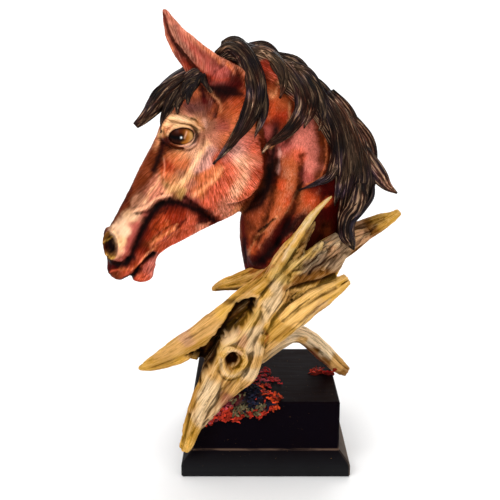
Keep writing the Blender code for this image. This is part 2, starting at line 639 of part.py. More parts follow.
def litter():
    """Heaps of leaves on the plinth's top, down its front and by the rear foot."""
    top = [(CORNER_X + inward, CORNER_Y + back, *half) for inward, back, *half in LITTER_TOP]
    front = [(CORNER_X + inward, z, *half) for inward, z, *half in LITTER_FRONT]
    bodies = [ball((x, y, 0), (rx, ry, rz)) for x, y, rx, ry, rz in top + list(LITTER_REAR)]
    bodies += [ball((x, CORNER_Y, z), (rx, ry, rz)) for x, z, rx, ry, rz in front]
    for heaps, count in ((top, LEAVES), (LITTER_REAR, LEAVES_REAR)):
        for i in range(count):
            x, y, rx, ry, rz = heaps[i % len(heaps)]
            turn, reach = leaf_place(i, count)
            place = (x + rx * reach * math.cos(turn), y + ry * reach * math.sin(turn), rz * LEAF_HEIGHT)
            bodies.append(ball(place, LEAF, math.degrees(turn), rounds=3, sides=6))
    for i in range(LEAVES):
        x, z, rx, ry, rz = front[i % len(front)]
        turn, reach = leaf_place(i, LEAVES)
        place = (x + rx * reach * math.cos(turn), CORNER_Y - ry * LEAF_HEIGHT,
                 z + rz * reach * math.sin(turn))
        bodies.append(ball(place, (LEAF[0], LEAF[2], LEAF[1]), math.degrees(turn), rounds=3, sides=6))
    return bodies


def leaf_place(number, count):
    """The way round and the share of the reach at which one of so many leaves lies."""
    least, most = LEAF_SPREAD
    return number * GOLDEN_TURN, least + (most - least) * number / count


def plinth_body(grow=0.0):
    """Points and faces of the plinth in metres: slab foot, flare and block. Grow offsets it."""
    lean = math.atan2((FOOT_WIDTH - BLOCK_WIDTH) / 2, FLARE_HEIGHT)
    rise = grow * (1 / math.sin(lean) - 1 / math.tan(lean))
    levels = (
        (FOOT_WIDTH, FOOT_DEPTH, -grow),
        (FOOT_WIDTH, FOOT_DEPTH, FOOT_HEIGHT + rise),
        (BLOCK_WIDTH, BLOCK_DEPTH, FOOT_HEIGHT + FLARE_HEIGHT + rise),
        (BLOCK_WIDTH, BLOCK_DEPTH, PLINTH_HEIGHT + grow),
    )
    points = []
    for width, depth, z in levels:
        x, y = width / 2 + grow, depth / 2 + grow
        points += [(-x, -y, z), (x, -y, z), (x, y, z), (-x, y, z)]
    faces = [(3, 2, 1, 0), (12, 13, 14, 15)]
    for i in range(3):
        for j in range(4):
            k = (j + 1) % 4
            faces.append((i * 4 + j, i * 4 + k, i * 4 + 4 + k, i * 4 + 4 + j))
    return points, faces


def make_material(name, colour, roughness):
    material = bpy.data.materials.new(name)
    material.use_nodes = True
    shader = material.node_tree.nodes["Principled BSDF"]
    shader.inputs["Base Color"].default_value = (*colour, 1)
    shader.inputs["Roughness"].default_value = roughness
    shader.inputs["Metallic"].default_value = 0.0
    return material


def add_object(name, mesh, material):
    item = bpy.data.objects.new(name, mesh)
    bpy.context.scene.collection.objects.link(item)
    mesh.materials.clear()
    mesh.materials.append(material)
    return item


def make_plinth():
    """The plinth, with its edges a little rounded."""
    item = add_object("plinth", mesh_from("plinth", *plinth_body()),
                      make_material("black_lacquer", (0.012, 0.011, 0.011), 0.42))
    bevel = item.modifiers.new("worn edges", "BEVEL")
    bevel.width = EDGE_ROUND
    bevel.segments = 1
    bevel.limit_method = "ANGLE"
    bevel.angle_limit = math.radians(20)
    return item


def make_casting():
    """Head, neck, mane, driftwood and litter, fused into one body and seated on the plinth."""
    flesh, points = fuse(*gather(head_and_neck()), FLESH_ROUNDS)
    flesh = (points, [tuple(face.vertices) for face in flesh.polygons])
    bare = [flesh, limb(MANE_BODY)]
    points, faces = gather(bare)
    tree = BVHTree.FromPolygons([Vector(p) for p in points], faces)
    fused, points = fuse(*gather(bare + mane(tree) + driftwood() + litter()), SMOOTH_ROUNDS)
    points = carve(fused, points)
    points[:, 2] += PLINTH_HEIGHT / UNIT
    fused.vertices.foreach_set("co", (points * UNIT).astype(np.float32).ravel())
    fused.update()
    now = sum(len(face.vertices) - 2 for face in fused.polygons)
    lean = with_modifier(fused, "DECIMATE", ratio=CASTING_TRIANGLES / now)
    item = add_object("horse_head_and_driftwood", lean,
                      make_material("painted_resin", (0.36, 0.12, 0.05), 0.5))
    clearance = add_object("seat clearance", mesh_from("seat clearance", *plinth_body(SEAT_GAP)),
                           make_material("clearance", (0.5, 0.5, 0.5), 0.5))
    clearance.hide_render = True
    clearance.display_type = "WIRE"
    seat = item.modifiers.new("seat on the plinth", "BOOLEAN")
    seat.operation = "DIFFERENCE"
    seat.solver = "EXACT"
    seat.object = clearance
    return item


def main():
    for item in list(bpy.data.objects):
        bpy.data.objects.remove(item)
    make_plinth()
    make_casting()


main()
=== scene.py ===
import math
from itertools import product

import bmesh
import bpy
import numpy as np
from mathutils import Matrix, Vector
from mathutils.bvhtree import BVHTree


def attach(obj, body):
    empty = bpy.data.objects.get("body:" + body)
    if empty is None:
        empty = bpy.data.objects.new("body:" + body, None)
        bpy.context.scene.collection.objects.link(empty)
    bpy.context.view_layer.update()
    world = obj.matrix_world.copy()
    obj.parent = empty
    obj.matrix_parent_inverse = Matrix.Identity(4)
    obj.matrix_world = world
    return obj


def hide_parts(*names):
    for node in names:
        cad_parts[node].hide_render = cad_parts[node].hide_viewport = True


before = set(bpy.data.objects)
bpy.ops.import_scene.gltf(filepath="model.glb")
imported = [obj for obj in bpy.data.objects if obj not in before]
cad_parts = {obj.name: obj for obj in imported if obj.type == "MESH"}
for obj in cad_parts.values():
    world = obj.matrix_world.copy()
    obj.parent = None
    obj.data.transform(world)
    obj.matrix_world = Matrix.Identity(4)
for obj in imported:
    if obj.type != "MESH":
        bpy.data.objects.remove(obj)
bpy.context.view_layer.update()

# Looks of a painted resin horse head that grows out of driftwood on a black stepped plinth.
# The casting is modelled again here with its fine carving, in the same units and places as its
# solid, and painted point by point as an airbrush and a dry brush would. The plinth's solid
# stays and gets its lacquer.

# Real sizes in metres, then the unit that the figure is drawn in, close to a millimetre
FIGURE_HEIGHT = 0.317
PLINTH_HEIGHT = 0.064
BLOCK_WIDTH = 0.124
BLOCK_DEPTH = 0.124
FOOT_HEIGHT = 0.011
FLARE_HEIGHT = 0.010
DRAWN_HEIGHT = 317
UNIT = FIGURE_HEIGHT / DRAWN_HEIGHT
CORNER_X = -BLOCK_WIDTH / 2 / UNIT
CORNER_Y = -BLOCK_DEPTH / 2 / UNIT
LEG_DROP = 0.75 * PLINTH_HEIGHT / UNIT
EDGE_X = BLOCK_WIDTH / 2 / UNIT

# Cells of the fused skins and rounds of smoothing
FLESH_VOXEL = 1.7
FLESH_ROUNDS = 40
SKIN_VOXEL = 1.3
WOOD_VOXEL = 1.1
SKIN_ROUNDS = 6
WOOD_ROUNDS = 4
LITTER_VOXEL = 0.8
LITTER_ROUNDS = 6
REFINE_ROUNDS = 3
# Steps between two points of a line, and stand-ins for nought and for far away
LINE_STEPS = 3
TINY = 1e-12
FAR_OFF = 1e9
# Whole numbers that scatter the cells of the noise
SCATTER = (73856093, 19349663, 83492791)
SCATTER_SEED = 2654435761
SCATTER_AGAIN = 1274126177
NOISE_HALF = 32767.5
# Where the near side of the face has the finest mesh: how far out, how far back and up to
FINE_OUT = 3
FINE_BACK = -24
FINE_TOP = 240
# Eyelids: how far past the opening they reach, where they stand full over the ball, their
# thickness there, and how deep the skin goes behind the ball
LID_REACH = 1.62
LID_FULL = 1.12
LID_THICK = 1.5
EYE_SUNK = 2.4
# The share of its thickness that a lid loses, over which reach, and over which share of the
# opening the skin sinks; the ball's least height at its rim, as a share of its radius
LID_THINS = 0.35
LID_THINS_OVER = 0.4
EYE_EDGE = 0.12
BALL_RIM = 0.4
# The eyeballs' rings, crowded towards the front, and the swell of the cornea and its angle
EYE_RINGS = 70
EYE_SIDES = 96
EYE_CROWD = 1.8
CORNEA = 0.5
CORNEA_ANGLE = 0.45
# How softly the head's paint runs into the neck's, and below which height the neck's is kept
HEAD_BLEND = 4
HEAD_OVER = 2.5
HEAD_LOWEST = 139
# How far the ears' paint reaches over the head, from which height and over which fade
EAR_NEAR = 7.0
EAR_LOWEST = 256
EAR_FADE = 6
# How far paint strays on the head: size of the lumps, reach, seed for each direction
HEAD_STRAY = ((6, 1.1, (1, 2)), (2.2, 0.66, (3, 4)))
# How far paint reaches round the nostril and the painted shade round the lids' inner wall, its fade,
# and the share of that painted shade
NOSTRIL_PAINT = (1.12, 0.2)
LID_SHADE_REACH = (1.06, 0.06)
LID_SHADE = 0.95
# Hair lies away from this place in the head's plane; then how its flow is scaled outwards, round
# that place and away from it, and along a lock of the mane
HAIR_FROM = (-44, 224)
HAIR_OUT = 0.3
HAIR_STRETCH = 120
FLOW_SQUEEZE = 0.12
HAIR_SQUEEZE = 0.07
# Hair on the neck: its lean, how fine it is across and along, and its share
NECK_LEAN = 0.25
NECK_FINE = 1.8
NECK_SQUEEZE = 0.4
NECK_FUR = 0.6
# How deep the strokes of hair are cut into the skin, how high they stand between, and their
# noise: fineness across and along, share, seed
HAIR_LINE = 0.16
HAIR_RIDGE = 0.4
HAIR_CUT = ((0.42, 1.3, 1.0, 41), (0.8, 2, 0.6, 42))
HAIR_TONES = ((0.45, 1.6, 0.3, 44), (0.9, 3, 0.25, 45))
# The skin's unevenness in form and tone: size of the lumps, share, seed
SKIN_LUMPS = ((7, 0.3, 43), (2.6, 0.12, 46))
SKIN_TONE = (3.5, 0.12, 47)
# Over which reach past the lids hair sets in
LID_CLEAR = 0.6
# Where the cheek's engraved hair is, in the head's plane, and its share everywhere else
CHEEK = (-18, 178, 27)
FUR_LEAST = 0.7
# The smooth patch over the nostril in the head's plane: along, up, reach
NOSE = (-110, 139, 17)
NOSE_BARE = 0.9
NOSE_SMOOTH = 0.6
# Painted shade in broad hollows and painted light on broad swells: rounds of smoothing, depth for
# the full effect and its share
SHADE_AND_LIGHT_HEAD = (60, 1.3, 0.38)
SHADE_AND_LIGHT_HAIR = (24, 1.2, 0.4)
SHADE_AND_LIGHT_WOOD = (36, 1.6, 0.24)
# How light the painted light on a broad swell can get, as a share of that
SWELL_LIGHT_MOST = 0.6
# A lock's steps between two of its points, its sides and strands, and their depth and twist
LOCK_STEPS = 8
LOCK_SIDES = 66
LOCK_STRANDS = 11
STRAND_DEPTH = 0.18
STRAND_TWIST = 0.03
# Waves of the strands: height, number round the lock, closeness along it, shift
STRAND_BENDS = ((0.35, 0, 0.11, 1), (0.25, 2, 0.05, 3))
STRAND_UNEVEN = (0.4, 3, 0.06, 5)
STRAND_WAVE = 1.3
STRAND_BROAD = 0.5
# How far apart in the hair's noise two locks are
LOCK_APART = 7.3
# Sides and strands of the mane's body
CREST_STRANDS = (96, 30)
# How far wisps lie off the middle of a lock, stray to its tip, and how wide they are
WISP_OFF = 0.8
WISP_STRAY = 0.7
WISP_WIDTH = 1.0
# Wisps: where they start and end at most, as shares of their lock, and their form
WISP_START = 0.25
WISP_END = 0.12
WISP_SHORTEST = 5
WISP_ROOT = 0.2
WISP_THINNEST = 0.12
WISP_SWAY = 0.18
WISP_WAVES = 9
WISP_LEAST_OFF = 1.5
WISP_LAID = 0.92
WISP_NARROW = 0.7
WISP_VARIES = 0.6
WISP_FLAT = 0.8
# How their form goes round from wisp to wisp
WISPS_APART = 5
WISP_PACES = (1.7, 2.3, 4, 3)
WISP_SIDES = 9
WISP_STRANDS = 3
NEAR_WISPS = 8
FAR_WISPS = 3
# Rounds of smoothing that hollows are measured against, and those of bare skin
HAIR_RELIEF_ROUNDS = 5
BARE_ROUNDS = 60
# Bare skin between the locks: its edge and fade, its tone and how much hair it loses
BARE_EDGE = (-1.5, 3)
BARE_TONE = (3, 0.5, 14)
BARE_FUR_LOSS = 0.4
# Clouds of paint in the mane: paint, share, base and noise; then its tan streaks
HAIR_CLOUDS = (("mane_blue", 0.5, 0.1, (12, 1.3, 11)), ("mane_black", 0.7, 0.35, (9, 1.5, 12)))
STREAKS = (0.9, 0.8, 1.0, 13)
STREAK_EDGE = (0.2, 0.3)
STREAK_SHARE = 0.7
# Grain of the driftwood: how it is scaled across and along a limb, how softly it runs through the
# limb's bends, and how far apart in its noise two limbs are
GRAIN_ACROSS = 9
GRAIN_SQUEEZE = 0.032
GRAIN_BLEND = 6
GRAIN_APART = 31.7
# Its noise: fineness across and along, share, seed
BROAD_GRAIN = (0.38, 0.9, 1.0, 21)
CLOSE_GRAIN = (0.95, 1.4, 1.0, 22)
SPLIT_GRAIN = (0.22, 0.6, 1.0, 24)
SPLIT_EDGE = (0.45, 0.2)
WOOD_TONE = (0.5, 0.8, 0.16, 28)
WALL_TONE = (1.1, 1.2, 0.5, 29)
# Steps and sides of limbs and splinters, and a splinter's half width at its tip
LIMB_STEPS = 4
LIMB_SIDES = 24
SPLINTER_SIDES = 16
SPLINTER_TIP = 0.9
# Where a splinter's middle is and how wide and deep it is there, as shares
SPLINTER_MIDDLE = (0.6, 0.8, 0.6)
# How deep grain and splits are cut; lumps of the form; how far paint strays
GROOVE = 0.6
CLOSE_GROOVE = 0.3
WOOD_LUMPS = (9, 0.7, 23)
WOOD_STRAY = ((5, 1.65, (26, 27)),)
SPLIT = 1.1
# How dark cracks are painted, and how much wider than they are cut
CRACK_PAINT = 0.55
CRACK_WIDE = 1.3
# How ragged the cavity's edge is: size of the lumps, share, seed
RAGGED = (2.5, 1.0, 25)
# Shares of the cavity's paint, mostly painted shade, and of the painted shade in the knot's bowl and
# its pit, and how far it runs past them
WALL_SHADE_AND_PAINT = 0.95
BOWL_SHADE = 0.8
BOWL_MORE = 0.6
PIT_SHADE = 0.9
PIT_MORE = 0.4
HOLLOW_FADE = 1.6
WOOD_RELIEF_ROUNDS = 6
# Leaves: how close they lie, length, thickness, steps, sides and how ragged, blunt, bent and
# folded they are
LEAF_DENSITY = 0.34
LEAF_LENGTH = 6.6
LEAF_THICK = 0.3
LEAF_STEPS = 8
LEAF_SIDES = 6
LEAF_RAGGED = 0.5
LEAF_ACROSS = (0.31, 0.52, 0.79)
LEAF_TIP = 0.05
LEAF_BLUNT = 0.6
LEAF_BEND = 0.14
LEAF_FOLD = 0.5
LEAF_NICKS = 2.4
LEAF_WINDS = 2.2
# How leaves of a heap differ from one to the next: tilt, turn and length with their paces, then
# curl, breadth and shade as middle, swing and pace, and how far off their colour is looked up
LEAF_TILT = 0.45
LEAF_TILTS = (1.3, 2.1, 0.7)
LEAF_TURN = 1.9
LEAF_SHORT = 0.55
LEAF_VARIES = 0.6
LENGTH_PACE = 2.7
LEAF_CURL = (0.12, 0.2, 3.1)
LEAF_BREADTH = (0.18, 0.07, 4.7)
LEAF_SHADE = (0.7, 0.3, 1.7)
LEAF_STRAY = 2.5
STRAY_PACES = (4.1, 5.3)
# How leaves stand on a heap, how round it is and how low they lie at its edge
LEAF_RISE = 0.3
LEAF_LEAN = 0.5
HEAP_ROUND = 1.05
HEAP_LEAST = 0.04
# The mound under them, its tone, which darkens it nearly to black as painted shade between the leaves,
# and the shade in its hollows; then loose leaves: height, lean, curl and breadth, tone at the root and
# how much it rises to the tip
LITTER_LUMPS = ((2.4, 0.9, 31), (1.1, 0.4, 32))
MOUND_SHADE = 0.14
LEAF_RELIEF_ROUNDS = 3
LEAF_RELIEF = 0.4
LOOSE_HEIGHT = 0.9
LOOSE_LEAN = 0.1
LOOSE_FORM = (0.12, 0.26)
LOOSE_TONE = (0.5, 0.8)
# Darkest and lightest end of a leaf, as shares of its paint
LEAF_TONES = (0.3, 1.4)

# The head is turned a little towards -Y about the poll
HEAD_TURN = math.radians(8)
POLL_X = -10

# Head sections from the poll to the lips: the front edge and the jaw edge in the head's own
# plane (along, up), then half the breadth at five places from the front edge to the jaw
HEAD = (
    ((-34, 283), (4, 262), (10, 18, 22, 22, 16)),
    ((-40, 279), (-1, 256), (16, 23, 25, 25, 20)),
    ((-49, 271), (4, 243), (21, 28, 28, 27, 22)),
    ((-61, 255), (9, 218), (26, 31, 30, 30, 22)),
    ((-73, 239), (13, 192), (28, 30, 28, 31, 21)),
    ((-82, 216), (5, 168), (23, 25, 25, 31, 17)),
    ((-93, 196), (-13, 150), (14, 19, 20, 24, 12)),
    ((-104, 175), (-39, 137.5), (12, 15.5, 17, 16, 9)),
    ((-113, 158), (-60, 127), (11, 14.5, 15, 13, 8)),
    ((-119, 148), (-75, 119.5), (11, 15, 15.5, 12, 8)),
    ((-123.5, 139), (-84, 112), (11, 16.5, 17, 13, 10)),
    ((-128, 124), (-87, 101), (9, 15, 16, 14, 11)),
    ((-126, 108), (-100, 93), (6, 11, 12, 11, 8)),
)
BREADTH_AT = (0.08, 0.28, 0.5, 0.74, 0.94)
SQUARENESS = 0.65

# Neck sections from the poll down to the driftwood, in the plane y = 0: crest edge, throat
# edge and half the breadth at the same five places
NECK = (
    ((-34, 284), (-2, 236), (12, 16, 18, 17, 13)),
    ((-12, 280), (-2, 210), (12, 17, 20, 20, 14)),
    ((17, 261), (-3, 187), (13, 20, 23, 22, 15)),
    ((38, 241), (-13, 168), (14, 22, 26, 24, 15)),
    ((56, 217), (-21, 148), (15, 24, 29, 27, 16)),
    ((68, 191), (-22.5, 128), (16, 26, 32, 30, 18)),
    ((72, 165), (-20, 108), (17, 28, 34, 33, 21)),
    ((70, 142), (-15, 90), (15, 27, 33, 33, 21)),
    ((62, 122), (-2, 80), (8, 18, 23, 23, 14)),
)
# The neck moves to the far side by this much from its top to its foot
NECK_SHIFT = 4
NECK_TOP = 270
NECK_FALL = 120

# Ear rows from the root to the tip: place (x, y, z), half width, half depth and how deep the
# hollow goes, as a share of the width
EAR = (
    (-33, -14, 254, 14, 11, 0.0),
    (-43, -17, 264, 16, 11, 0.1),
    (-50.5, -18, 271, 15, 10, 0.4),
    (-59.5, -19, 280, 13, 8.5, 0.6),
    (-67.5, -20, 289, 11.2, 7.5, 0.65),
    (-73.5, -20, 297.5, 8.4, 6.2, 0.6),
    (-77.5, -20, 307, 5.4, 4.2, 0.4),
    (-81, -19, 316.4, 1.5, 1.6, 0.0),
)
EAR_FACES = math.radians(-42)
EAR_HOLLOW = 1.35
EAR_OPEN = 0.62
EAR_STEPS = 6
EAR_SIDES = 36
FAR_EAR_SIZE = 0.94

# Balls in the head's plane, on both sides of it: (along, out, up), half sizes, tilt
HEAD_LUMPS = (
    ((-26, 15, 192), (34, 15.5, 32), 24),
    ((-59, 14, 220), (19, 14.4, 16.5), 20),
    ((-121, 8, 124), (8, 10, 15), -8),
    ((-99, 3, 100), (12, 9, 8.5), 12),
    ((-116, 4, 105), (11, 9, 11), -20),
)

# Raised and sunk lines on both sides of the head, in its own plane: points, half width of the
# line, height over the skin and the least distance out from the head's plane
HEAD_LINES = (
    # brow, eyelids and tear duct
    (((-77, 223), (-72, 231), (-66, 233), (-58, 230.5), (-51, 228), (-47, 225)), 2.4, 1.0, 10),
    (((-71, 229.8), (-67.7, 228.6), (-62.3, 227.9), (-57.6, 226.9), (-53.4, 225.6), (-50.4, 223.9),
      (-48.3, 222.1)), 1.3, -0.4, 10),
    (((-73, 219.5), (-70, 224), (-63.5, 226.1), (-57.6, 225.8), (-52.6, 223.6),
      (-49.2, 220.9)), 1.3, 0.8, 10),
    (((-54, 231.6), (-51, 230.4), (-48.6, 228.6), (-46.2, 225.6), (-45.3, 223.9)), 1.6, -0.3, 10),
    (((-61.2, 206.9), (-56.4, 206.3), (-52.2, 209), (-49.2, 213.1), (-48.6, 217.3)), 1.4, -0.45, 10),
    (((-73, 211.3), (-68.5, 209), (-63.5, 207.4)), 1.3, -0.35, 10),
    (((-44.4, 218.5), (-44.7, 211)), 2.0, -0.25, 10),
    (((-78, 210), (-74, 214), (-72, 216)), 1.6, -0.7, 10),
    # temple, crest of the face and veins
    (((-46, 258), (-38, 249), (-34.5, 244), (-33, 240), (-35, 233)), 1.2, -0.5, 10),
    (((-43, 257), (-36, 249), (-31.5, 243), (-30.5, 237)), 2.0, 0.4, 10),
    (((-42, 211), (-53, 192), (-63, 179), (-74, 171)), 4.6, 2.0, 10),
    (((-30, 192), (-37, 182), (-45, 174), (-54, 168)), 3.6, 1.3, 10),
    (((-44, 204), (-47, 190), (-54, 178)), 4.0, -0.6, 10),
    (((-77, 202), (-76.5, 194), (-76, 180), (-79, 172)), 1.4, 0.9, 8),
    (((-62, 204), (-68, 197), (-70, 188)), 1.6, 0.6, 8),
    (((-72, 206), (-82, 188), (-92, 170)), 6.0, -1.3, 6),
    (((-60, 166), (-51, 159), (-38, 149)), 4.0, -1.8, 4),
    # muzzle
    (((-104, 155), (-94, 157.5), (-88, 162.5), (-80, 167), (-72, 168.5)), 2.2, 1.5, 8),
    (((-100, 153), (-92, 154.5), (-86, 159), (-78, 163)), 2.2, -1.0, 8),
    (((-80, 162), (-87.5, 154.5), (-93, 145), (-98, 134.5), (-103.5, 124), (-109, 115)), 4.2, -1.6, 6),
    (((-109, 115), (-116, 111), (-122, 113), (-126, 116)), 2.4, -1.4, 4),
    (((-84, 126), (-76, 132), (-66, 138), (-54, 144)), 4.0, 1.3, 6),
    (((-89, 128), (-80, 137), (-70, 143)), 2.6, -0.8, 6),
    (((-109, 94.5), (-104.5, 99.5), (-101, 103.7), (-97.4, 108.6), (-92.1, 113.3),
      (-87, 116.8)), 3.2, -2.2, 0),
    (((-106, 105), (-99, 110), (-94, 116), (-88, 121)), 2.0, 0.9, 3),
    (((-104, 98), (-97, 103), (-90, 109)), 2.0, 0.8, 3),
    (((-97, 97), (-91, 101), (-86, 107)), 1.2, -0.6, 0),
    # rim of the nostril
    (((-124, 139), (-119, 137), (-116.5, 131), (-116, 123), (-119, 116), (-124, 114.5),
      (-129, 118)), 1.9, 0.45, 6),
    (((-129, 118), (-131, 125), (-128.5, 134), (-124, 139)), 1.7, 0.8, 6),
)
# Where the head's own skin ends: back, down and out, and the corner that is throat
JAW_BACK = 6
CHIN_LOW = 88
HEAD_OUT = 40
THROAT = (-30, 140)
SIDE_OUT = 8

# Each nostril is a pit: centre in the head's plane, half sizes, depth and the share of its
# reach that its walls take
NOSTRIL = ((-123, 126.5), (6.8, 12.0), 6.5, 0.5)
# Each eye is a ball set in the skin: centre in the head's plane, half opening, how far out its
# middle stands from the head's plane and the ball's radius
EYE = ((-62.3, 218.1), (10.3, 6.8), 28.4, 13)
EYE_TILT = math.radians(8)

# Raised and sunk lines on the near side of the neck: points (x, z), half width, height, and
# between which depths that skin lies
NECK_LINES = (
    (((8, 196), (5, 172), (0, 150), (-7, 130)), 7, -3.0),
    (((20, 186), (14, 160), (2, 132), (-10, 108)), 9, 2.4),
    (((30, 200), (28, 176), (20, 150), (10, 128)), 6, -1.8),
    (((-13, 118), (-6, 108), (4, 104)), 5, 2.4),
    (((44, 172), (30, 152), (16, 134)), 7, 2.0),
    (((50, 140), (44, 120), (38, 104)), 7, -2.4),
    (((18, 256), (24, 236), (20, 216), (8, 204)), 6, -1.6),
    (((6.3, 148.1), (0.9, 141.9), (-6.3, 135.7)), 1.8, -1.1),
)
NECK_NEAR = (-8, -34)

# The mane lies along the crest as one body: (x, y, z), half width in the side view, half depth
MANE_BODY = (
    (-40, -2, 276, 4, 8),
    (-27, -1, 282, 9, 13),
    (-5, 0, 274, 10, 15),
    (13, 0, 263, 10, 16),
    (30, 0, 249, 10, 17),
    (45, 1, 236, 11, 18),
    (58, 2, 219, 12, 19),
    (69, 3, 202, 13, 19),
    (76, 4, 185, 13, 18),
    (80, 3, 171, 12, 16),
    (76, 0, 158, 9, 14),
    (71, -4, 145, 6, 11),
    (71, -9, 131, 4, 7),
    (74, -12, 119, 1.6, 2.5),
)
# Locks of the near side, root to tip: points (x, z) in the side view, half width at the
# fullest, thickness and how proud the lock lies
NEAR_LOCKS = (
    (((-40, 282), (-30, 287), (-20, 280), (-13, 262), (-12, 245), (-17.5, 229),
      (-26, 215), (-34.5, 204.5), (-43, 195.5)), 5.8, 4.5, 3),
    (((-33, 288), (-22, 289), (-12, 276), (-6, 258), (-7.5, 243), (-14, 229),
      (-22, 218), (-30, 208)), 5.8, 4.5, 4),
    (((-26, 291), (-17, 285), (-11, 271), (-5, 254), (-2, 238), (-5, 226), (-11, 213.5)), 4.6, 4.0, 2),
    (((-15, 284), (-3, 284), (7, 277), (12.5, 267), (14, 256), (11, 246)), 5.0, 4.5, 3),
    (((2, 280), (13, 273), (22, 262), (28, 251), (29, 239), (23, 227),
      (13, 217), (3, 210), (-4, 202)), 6.0, 4.5, 4),
    (((8, 275), (21, 270), (31, 259), (37, 247), (36, 234), (31, 222)), 6.0, 4.5, 3),
    (((22, 273), (34, 264), (43, 248), (47, 233), (44, 220)), 6.0, 4.5, 2),
    (((33, 260), (47, 244), (56, 224), (59, 206), (58, 192), (52, 182), (42, 178), (27, 172.5)), 5.0, 4.5, 3),
    (((41, 254), (55, 235), (62, 213), (64, 191), (62, 172), (58, 157)), 6.5, 4.5, 3),
    (((50, 250), (63, 231), (71, 208), (73, 185), (69, 162), (65, 142), (70, 124)), 7.0, 5.0, 4),
    (((60, 236), (72, 218), (79, 199), (81, 180), (77, 160), (72, 143), (72, 124)), 7.0, 5.0, 3),
    (((69, 223), (80, 208), (86, 192), (86, 174), (79, 156), (74, 143), (74, 128)), 5.5, 4.5, 2),
)
# Locks of the far side, which nobody sees from the front
FAR_LOCKS = (
    (((-36, 288), (-24, 288), (-14, 268), (-14, 246), (-22, 226)), 7.5, 4.5, 3),
    (((-14, 287), (0, 284), (10, 266), (10, 244), (2, 224)), 7.5, 4.5, 3),
    (((10, 280), (26, 272), (36, 252), (36, 228), (28, 208)), 7.5, 4.5, 3),
    (((34, 264), (50, 248), (60, 226), (60, 200), (50, 180)), 7.5, 4.5, 3),
    (((54, 250), (70, 230), (78, 206), (76, 180), (66, 158)), 7.5, 4.5, 3),
    (((72, 230), (86, 210), (90, 188), (84, 166), (74, 146)), 7.0, 4.5, 3),
)
# Where skin shows on the mane's body between two locks: x, z
BARE_CREST = ((-8, 276), (0, 278), (8, 271), (12, 260), (12, 246), (22, 250), (24, 238), (4, 236), (0, 256))
# Tufts that lie over the forehead on the near side, in the same form
FRINGE_LOCKS = (
    (((-50, 270), (-60, 265), (-69, 255), (-77, 243), (-83, 231), (-85.5, 219)), 5.5, 4.0, 2),
    (((-49, 273), (-62, 268), (-76, 258), (-87, 246), (-96, 234)), 5.5, 4.0, 2),
    (((-50, 266), (-58, 260), (-66, 251), (-72, 240)), 4.5, 3.5, 1.5),
    (((-48, 267), (-54, 262), (-59, 255), (-62, 247)), 2.4, 2.6, 1),
    (((-48, 268), (-50, 262.7), (-47, 257), (-43.4, 251.7)), 1.8, 2.0, 1.2),
    (((-54, 267), (-59, 258), (-62.6, 249), (-63, 242)), 2.2, 2.2, 1.0),
    (((-60, 262), (-67, 251), (-71, 242), (-71.5, 234)), 2.4, 2.4, 1.2),
    (((-54, 268), (-64, 260), (-74, 249), (-82, 237), (-88, 226)), 4.5, 3.5, 3),
)
# Where the mane ends in a hooked lock over the driftwood, in the same form as the flying lock
MANE_ENDS = (
    ((80, -14, 176, 5, 5), (79.5, -18, 172.5, 6, 6), (78.1, -19, 164.5, 6.5, 6.5), (74.2, -22, 156, 6.6, 7),
     (69, -25.5, 150, 6.6, 7), (66.8, -29, 143.5, 6.5, 6.5), (67.2, -32.5, 136, 6, 5.5), (70, -35, 130, 4, 4),
     (72.7, -36, 124.5, 0.8, 0.8)),
    ((90, -14, 176, 0.8, 1), (89.8, -17, 172, 1.5, 1.6), (88.4, -19, 165, 1.8, 1.8),
      (82.4, -23.5, 157, 1.8, 1.8),
     (76, -28.5, 150.5, 1.8, 1.8), (71, -33.5, 147, 1.8, 1.8), (69, -37, 141, 1.7, 1.7),
     (70.6, -38.5, 133, 1.4, 1.4),
     (72.6, -38.5, 126.5, 0.5, 0.5)),
)
# How full a lock is at its root, how its fullness falls off to the tip, its least fullness, and
# over how much of its length its lie is evened out
LOCK_ROOT = 0.16
LOCK_TAPER = 0.85
LOCK_LEAST = 0.1
LAY_WINDOW = 5
# The lock that flies free at the nape: (x, y, z), half width, half depth
FLYING_LOCK = (
    (80, -4, 203, 7, 6),
    (89, -8, 192, 7, 5),
    (96, -11, 182, 6.5, 4.5),
    (102, -13, 174, 4, 3),
    (110.5, -14, 168, 0.8, 0.8),
)
# The forelock between the ears and over the brow: (x, y, z), half width, half depth
FORELOCK = (
    ((-38, -3, 267, 7, 12), (-52, -5, 266.5, 7.5, 13), (-67.5, -8, 261, 8.5, 13), (-82, -12, 251, 8, 10),
     (-92, -15, 240, 6.4, 7), (-99.5, -17, 231.5, 4.4, 4.5), (-107, -18, 224.8, 2.6, 2.4)),
    ((-46, -12, 266, 5, 5), (-58, -16, 258, 6, 5), (-68, -19, 247, 6, 5), (-76, -20, 236, 5, 4.5),
     (-82, -20, 226, 3.5, 3.5), (-84, -20, 217, 1, 1)),
    ((-44, -14, 266, 4, 4), (-50, -19, 259, 4.5, 4), (-57, -23, 250, 4, 4), (-62, -25, 242, 1.5, 1.5)),
    ((-42, 8, 266, 6, 6), (-56, 10, 260, 7, 6), (-70, 9, 248, 7, 6), (-80, 5, 234, 5, 5),
     (-86, 2, 222, 1.5, 1.5)),
)

